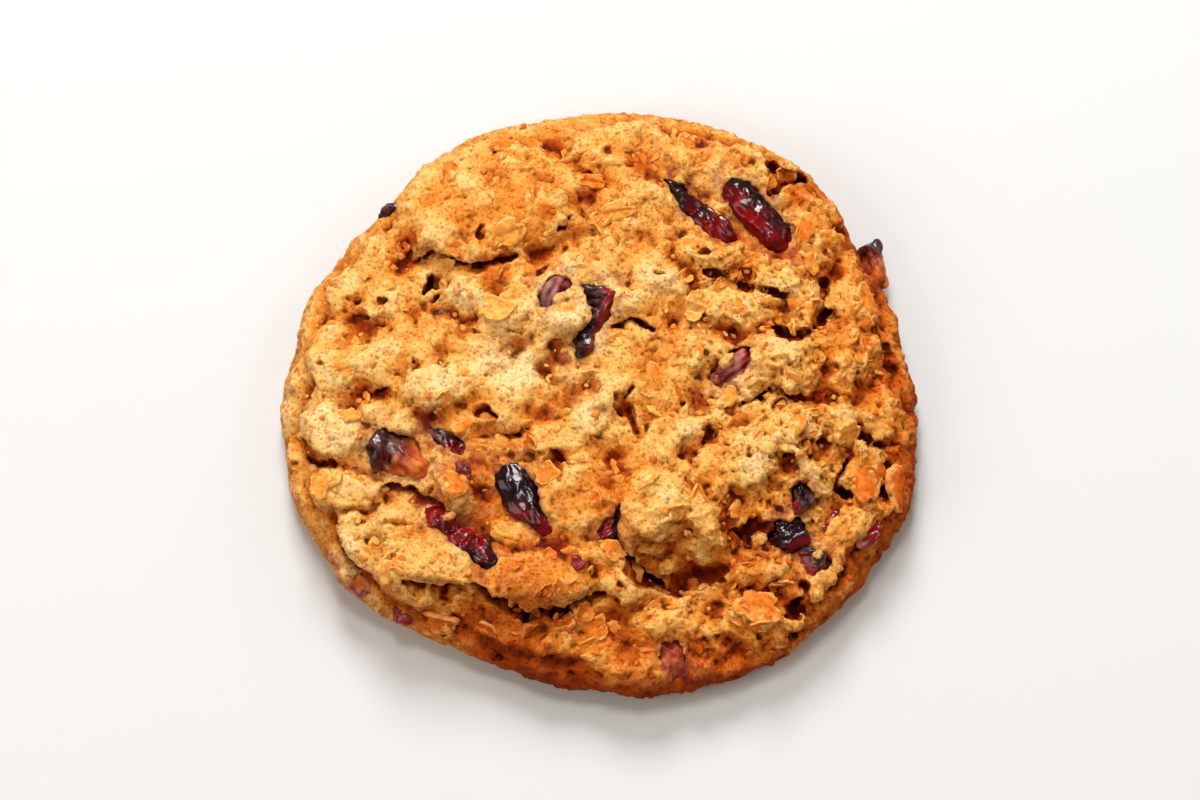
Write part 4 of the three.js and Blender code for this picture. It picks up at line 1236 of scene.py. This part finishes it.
class Nodes:
    """A material under construction."""

    def __init__(self, name):
        self.material = bpy.data.materials.new(name)
        self.material.use_nodes = True
        self.tree = self.material.node_tree
        self.shader = self.tree.nodes["Principled BSDF"]
        self.place = self.add("TexCoord").outputs["Object"]

    def add(self, kind, inputs=None, **settings):
        node = self.tree.nodes.new("ShaderNode" + kind)
        for name, value in settings.items():
            setattr(node, name, value)
        self.feed(node, inputs or {})
        return node

    def feed(self, node, inputs):
        for key, value in inputs.items():
            if isinstance(value, bpy.types.NodeSocket):
                self.tree.links.new(value, node.inputs[key])
            else:
                node.inputs[key].default_value = value

    def noise(self, size, detail=3, rough=0.55):
        """Noise from 0 to 1 with lumps about `size` mm across."""
        inputs = {"Vector": self.place, "Scale": 0.6 / (size * MM), "Detail": detail, "Roughness": rough}
        return self.add("TexNoise", inputs).outputs[0]

    def swing(self, size, detail=3, rough=0.55):
        """The same noise, from -0.5 to 0.5."""
        return self.math("SUBTRACT", self.noise(size, detail, rough), 0.5)

    def cells(self, size):
        """Distance to the middles of cells about `size` mm across."""
        return self.add("TexVoronoi", {"Vector": self.place, "Scale": 1 / (size * MM)}).outputs["Distance"]

    def attribute(self, name):
        return self.add("Attribute", attribute_name=name).outputs["Fac"]

    def math(self, operation, a, b=0.0, clamp=False):
        return self.add("Math", {0: a, 1: b}, operation=operation, use_clamp=clamp).outputs[0]

    def times(self, a, b):
        return self.math("MULTIPLY", a, b)

    def span(self, value, low, high, to_low=0.0, to_high=1.0):
        """A value spread from one range to another, clamped, smooth at both ends."""
        inputs = {0: value, 1: low, 2: high, 3: to_low, 4: to_high}
        return self.add("MapRange", inputs, interpolation_type="SMOOTHSTEP").outputs[0]

    def ramp(self, value, stops):
        node = self.add("ValToRGB", {"Fac": value})
        elements = node.color_ramp.elements
        while len(elements) < len(stops):
            elements.new(0.5)
        for element, (at, colour) in zip(elements, stops):
            element.position, element.color = at, colour
        return node.outputs["Color"]

    def mix(self, factor, a, b, blend="MIX"):
        return self.add("Mix", {0: factor, 6: a, 7: b}, data_type="RGBA", blend_type=blend).outputs[2]

    def bump(self, height, strength, distance, normal=None):
        inputs = {"Height": height, "Strength": strength, "Distance": distance * MM}
        if normal:
            inputs["Normal"] = normal
        return self.add("Bump", inputs).outputs["Normal"]

    def finish(self, **inputs):
        self.feed(self.shader, {name.replace("_", " "): value for name, value in inputs.items()})
        return self.material

# %% [markdown]
# The crust goes from pale tan in the middle through gold to orange brown at the rim. Blotches of a few
# mm keep that from being even. Painted shade makes steep and low places orange, hollows and cracks dark
# brown and the gaps between grains darker; painted light gives grains paler tops; and fine dark specks,
# partly painted shade in pores, are strewn over everything. A little light passes through the dough and
# warms its shadows.

# %% Crust
BAKED = [
    (0.0, tint(242, 212, 160)), (0.25, tint(237, 187, 110)), (0.5, tint(226, 149, 64)),
    (0.75, tint(203, 106, 34)), (1.0, tint(152, 64, 14)),
]
# dark specks, partly painted shade in fine pores
PORE_SHADE = tint(134, 70, 22)
# dark brown painted shade for hollows, cracks and pits
CREVICE_SHADE = tint(80, 28, 4)

def crust(name):
    m = Nodes(name)
    baked, hollow, valley, steep, deep = map(m.attribute, ("baked", "hollow", "valley", "steep", "deep"))
    tone = m.math("ADD", baked, m.times(m.swing(5, 2), 0.62))
    tone = m.math("ADD", tone, m.times(m.swing(1.4, 4, 0.65), 0.7))
    colour = m.ramp(tone, BAKED)
    # painted shade: orange where it is steep or low
    painted_shade_orange = m.mix(1.0, colour, tint(172, 114, 68), "MULTIPLY")
    painted_shade_share = m.math("MAXIMUM", m.times(steep, 0.5), m.span(valley, 0.0, 0.5))
    colour = m.mix(painted_shade_share, colour, painted_shade_orange)
    # painted shade: dark in the hollows, and deep in cracks and pits
    colour = m.mix(m.span(hollow, 0.06, 0.3, 0, 0.84), colour, CREVICE_SHADE)
    colour = m.mix(m.span(deep, 0.7, 1.8, 0, 0.9), colour, CREVICE_SHADE)
    # painted light: the convex tops of grains are paler
    lit_tops = m.times(m.span(hollow, -0.02, -0.2), m.span(baked, 0.9, 0.3))
    colour = m.mix(m.times(lit_tops, 0.3), colour, tint(255, 220, 150))
    # fine grain, with painted shade between the grains, and pores
    grain = m.math("ADD", m.noise(0.35, 4, 0.75), m.times(m.cells(0.55), 0.5))
    between = m.mix(1.0, colour, tint(204, 144, 86), "MULTIPLY")
    colour = m.mix(m.span(grain, 0.78, 0.5, 0, 0.72), colour, between)
    # dark specks over the dents of the bump: partly painted shade in fine pores
    shaded_pore = m.times(m.span(m.noise(0.4, 2, 0.8), 0.42, 0.34), m.span(m.noise(1.8, 2), 0.38, 0.58))
    colour = m.mix(m.times(shaded_pore, 0.45), colour, PORE_SHADE)
    # juice round the fruit
    stain = m.times(m.attribute("stain"), m.span(m.noise(0.9), 0.4, 0.65))
    colour = m.mix(m.times(stain, 0.6), colour, tint(150, 66, 70))
    rough = m.span(m.noise(0.5), 0.3, 0.7, 0.38, 0.75)
    normal = m.bump(m.math("SUBTRACT", grain, m.times(shaded_pore, 0.5)), 0.7, 0.34)
    return m.finish(Base_Color=colour, Roughness=rough, Normal=normal, Specular_IOR_Level=0.06,
                    Subsurface_Weight=0.32, Subsurface_Radius=(1.0, 0.25, 0.08), Subsurface_Scale=1.6 * MM)

crust_material = crust("baked_crust")
print("crust material:", len(crust_material.node_tree.nodes), "nodes")

# %% [markdown]
# Flakes and crumbs are drier and paler than the dough. Each has its own shade, kept as an attribute,
# so that neighbours differ. Fine fibres run over the flakes.

# %% Oats and crumbs
def oat(name, stops, grain_size):
    m = Nodes(name)
    shade, baked, rim = map(m.attribute, ("shade", "baked", "rim"))
    tone = m.math("ADD", baked, m.times(m.math("SUBTRACT", shade, 0.5), 0.3))
    tone = m.math("ADD", tone, m.times(m.swing(1.2), 0.5))
    colour = m.ramp(tone, stops)
    # painted highlight: paler along each flake's proud edge
    ragged = m.math("ADD", rim, m.swing(0.8, 2))
    colour = m.mix(m.span(ragged, 0.5, 0.9, 0, 0.5), colour, tint(250, 208, 136))
    colour = m.mix(m.span(m.noise(grain_size, 3, 0.7), 0.58, 0.4, 0, 0.45), colour,
                   m.mix(1.0, colour, tint(200, 140, 90), "MULTIPLY"))
    # dark specks, partly painted shade in fine pores
    shaded_pore = m.span(m.noise(0.4, 2, 0.8), 0.34, 0.26, 0, 0.6)
    colour = m.mix(shaded_pore, colour, PORE_SHADE)
    rough = m.span(m.noise(0.6, 2), 0.3, 0.7, 0.4, 0.65)
    normal = m.bump(m.noise(grain_size, 4, 0.7), 0.6, 0.1)
    return m.finish(Base_Color=colour, Roughness=rough, Normal=normal, Specular_IOR_Level=0.15,
                    Subsurface_Weight=0.4, Subsurface_Radius=(1.0, 0.4, 0.12), Subsurface_Scale=0.5 * MM)

OAT = [
    (0.0, tint(245, 208, 144)), (0.35, tint(240, 176, 88)), (0.6, tint(226, 134, 44)),
    (0.9, tint(196, 92, 20)),
]
oat_material = oat("toasted_oat", OAT, 0.4)
crumb_material = oat("toasted_crumb", BAKED, 0.3)
print("oat material:", len(oat_material.node_tree.nodes), "nodes")

# %% [markdown]
# The fruit's skin is blue-black and glossy, and its cut side a deep ruby that lets light through. The
# ruby is partly painted light too: the glow of light shining through the fruit. Which is which comes
# from the direction a point faces, made ragged by noise. Some pieces are dusted or half covered with
# dough, which is stored as a film.

# %% Measure the fruit
# compass direction in degrees that the dark skin faces, share of skin, dust from 0 to 1, film of dough
# from 0 to 1, and the compass direction where the film lies if that isn't the middle
FRUIT_LOOK = {
    "01": (135, 0.5, 0, 0), "02": (60, 0.45, 0, 0), "03": (90, 0.4, 0.1, 0.6, -90),
    "04": (200, 0.65, 0.3, 0.1), "05": (170, 0.65, 0.1, 0), "06": (150, 0.3, 0.4, 0.35, 150),
    "07": (150, 0.6, 0.1, 0.6, -20), "08": (100, 0.5, 0.2, 0.1), "09": (100, 0.7, 0, 0),
    "10": (-60, 0.35, 0, 0), "11": (0, 0.4, 0.05, 0), "12": (60, 0.85, 0.1, 0), "13": (110, 0.8, 0, 0),
    "14": (60, 0.6, 0.1, 0), "15": (90, 0.1, 0.2, 0.4), "16": (90, 0.2, 0.7, 0.35),
}

def compass(degrees):
    """The direction on the table at an angle from the x axis."""
    return np.array([math.cos(math.radians(degrees)), math.sin(math.radians(degrees))])

def measure_fruit(piece, turn, facing, skin_share, dust, film, film_side=None):
    """Stores where a piece of fruit shows skin, and where dust and dough cling to it."""
    xyz, n = points_of(piece), normals_of(piece)
    centre = 0.5 * (xyz.min(0) + xyz.max(0))
    off = (xyz - centre) / (0.5 * (xyz.max(0) - xyz.min(0)))
    towards = compass(facing)
    side = 0.7 * off[:, :2] @ towards + 0.4 * n[:, :2] @ towards
    ragged = np.array([noise.noise(Vector(p) * 0.45) for p in xyz])
    fine = np.array([noise.noise(Vector(p) * 1.1 + Vector((7, 0, 0))) for p in xyz])
    x, y, z = xyz.T
    c, s = compass(turn)
    lengthwise = np.stack([0.3 * (x * c + y * s), 1.5 * (y * c - x * s), 0.8 * z], 1)
    streaks = np.array([noise.noise(Vector(p)) for p in lengthwise])
    side += 0.25 * ragged + 0.12 * fine
    level = 0.8 * (1 - 2 * skin_share)
    store(piece, "skin", ramp(side, level - 0.35, level + 0.35))
    store(piece, "dust", np.clip(dust * (1 + ragged + fine + 2.5 * streaks), 0, 1))
    middle = 1 - np.hypot(off[:, 0], off[:, 1])
    if film_side is not None:
        middle = off[:, :2] @ compass(film_side)
    cover = film * (0.9 + 1.2 * middle) + 0.4 * ragged + 0.25 * fine
    store(piece, "film", ramp(cover, 0.3, 0.85) if film else np.zeros(len(xyz)))

for fruit in fruits:
    number = fruit.name[-2:]
    measure_fruit(fruit, FRUIT["cranberry_" + number][0][-1], *FRUIT_LOOK[number])
measure_fruit(scraps, 0, 90, 0.4, 0.12, 0.25)
print("fruit measured:", len(fruits) + 1, "pieces")

# %% Fruit skin
def fruit_skin(name):
    m = Nodes(name)
    skin, dust, film = map(m.attribute, ("skin", "dust", "film"))
    # ruby: the cut side, and partly a painted glow of light shining through the fruit
    flesh_and_glow = m.mix(m.span(m.noise(1.1), 0.35, 0.65), tint(88, 0, 10), tint(142, 5, 20))
    dark = m.mix(m.span(m.noise(0.8), 0.35, 0.7), tint(20, 6, 14), tint(50, 14, 32))
    colour = m.mix(skin, flesh_and_glow, dark)
    sugar = m.mix(m.noise(0.6), tint(170, 92, 104), tint(222, 166, 150))
    colour = m.mix(m.times(dust, 0.85), colour, sugar)
    dusted = m.mix(m.span(m.noise(0.8, 4), 0.35, 0.65), tint(184, 84, 34), tint(226, 142, 70))
    colour = m.mix(film, colour, dusted)
    flour = m.times(m.span(m.noise(0.45, 3, 0.7), 0.62, 0.72), m.span(m.noise(2.4, 2), 0.45, 0.62))
    colour = m.mix(m.times(flour, 0.6), colour, tint(222, 160, 120))
    clung = m.math("ADD", film, dust, clamp=True)
    rough = m.math("ADD", m.span(m.noise(0.9), 0.3, 0.7, 0.12, 0.25), m.times(clung, 0.4))
    normal = m.bump(m.noise(0.7, 4, 0.6), 0.42, 0.14)
    normal = m.bump(m.times(m.noise(0.3, 4, 0.75), film), 0.9, 0.25, normal)
    coat = m.span(clung, 0, 0.6, 0.3, 0)
    return m.finish(Base_Color=colour, Roughness=rough, Normal=normal, Coat_Weight=coat, Coat_Roughness=0.1,
                    Specular_IOR_Level=0.32,
                    Subsurface_Weight=m.span(film, 0, 0.7, 0.25, 0.1), Subsurface_Radius=(1.0, 0.15, 0.12),
                    Subsurface_Scale=1.2 * MM)

fruit_material = fruit_skin("dried_fruit")
print("fruit material:", len(fruit_material.node_tree.nodes), "nodes")

# %% [markdown]
# ## Hand over
# Every piece rides on the one body and replaces its solid. The box of the pieces is kept beside the box
# of the solids, so that the sizes can be compared.

# %% Dress and hand over
def dress(piece, material):
    """Smooths a piece, gives it its one material and lets it ride on the body."""
    pick(piece)
    bpy.ops.object.shade_smooth()
    piece.data.materials.clear()
    piece.data.materials.append(material)
    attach(piece, "root")

materials = [
    (dough, crust_material), (oats, oat_material), (crumbs, crumb_material), (scraps, fruit_material),
]
for piece, material in materials:
    dress(piece, material)
    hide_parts("dough")
for fruit in fruits:
    dress(fruit, fruit_material)
    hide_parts(fruit.name.replace("dried_", ""))
sizes = {"cad": [list(corner) for corner in cad_box], "visual": [list(corner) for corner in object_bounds()]}
print("the pieces' box, mm:", [[round(v / MM, 1) for v in corner] for corner in sizes["visual"]])
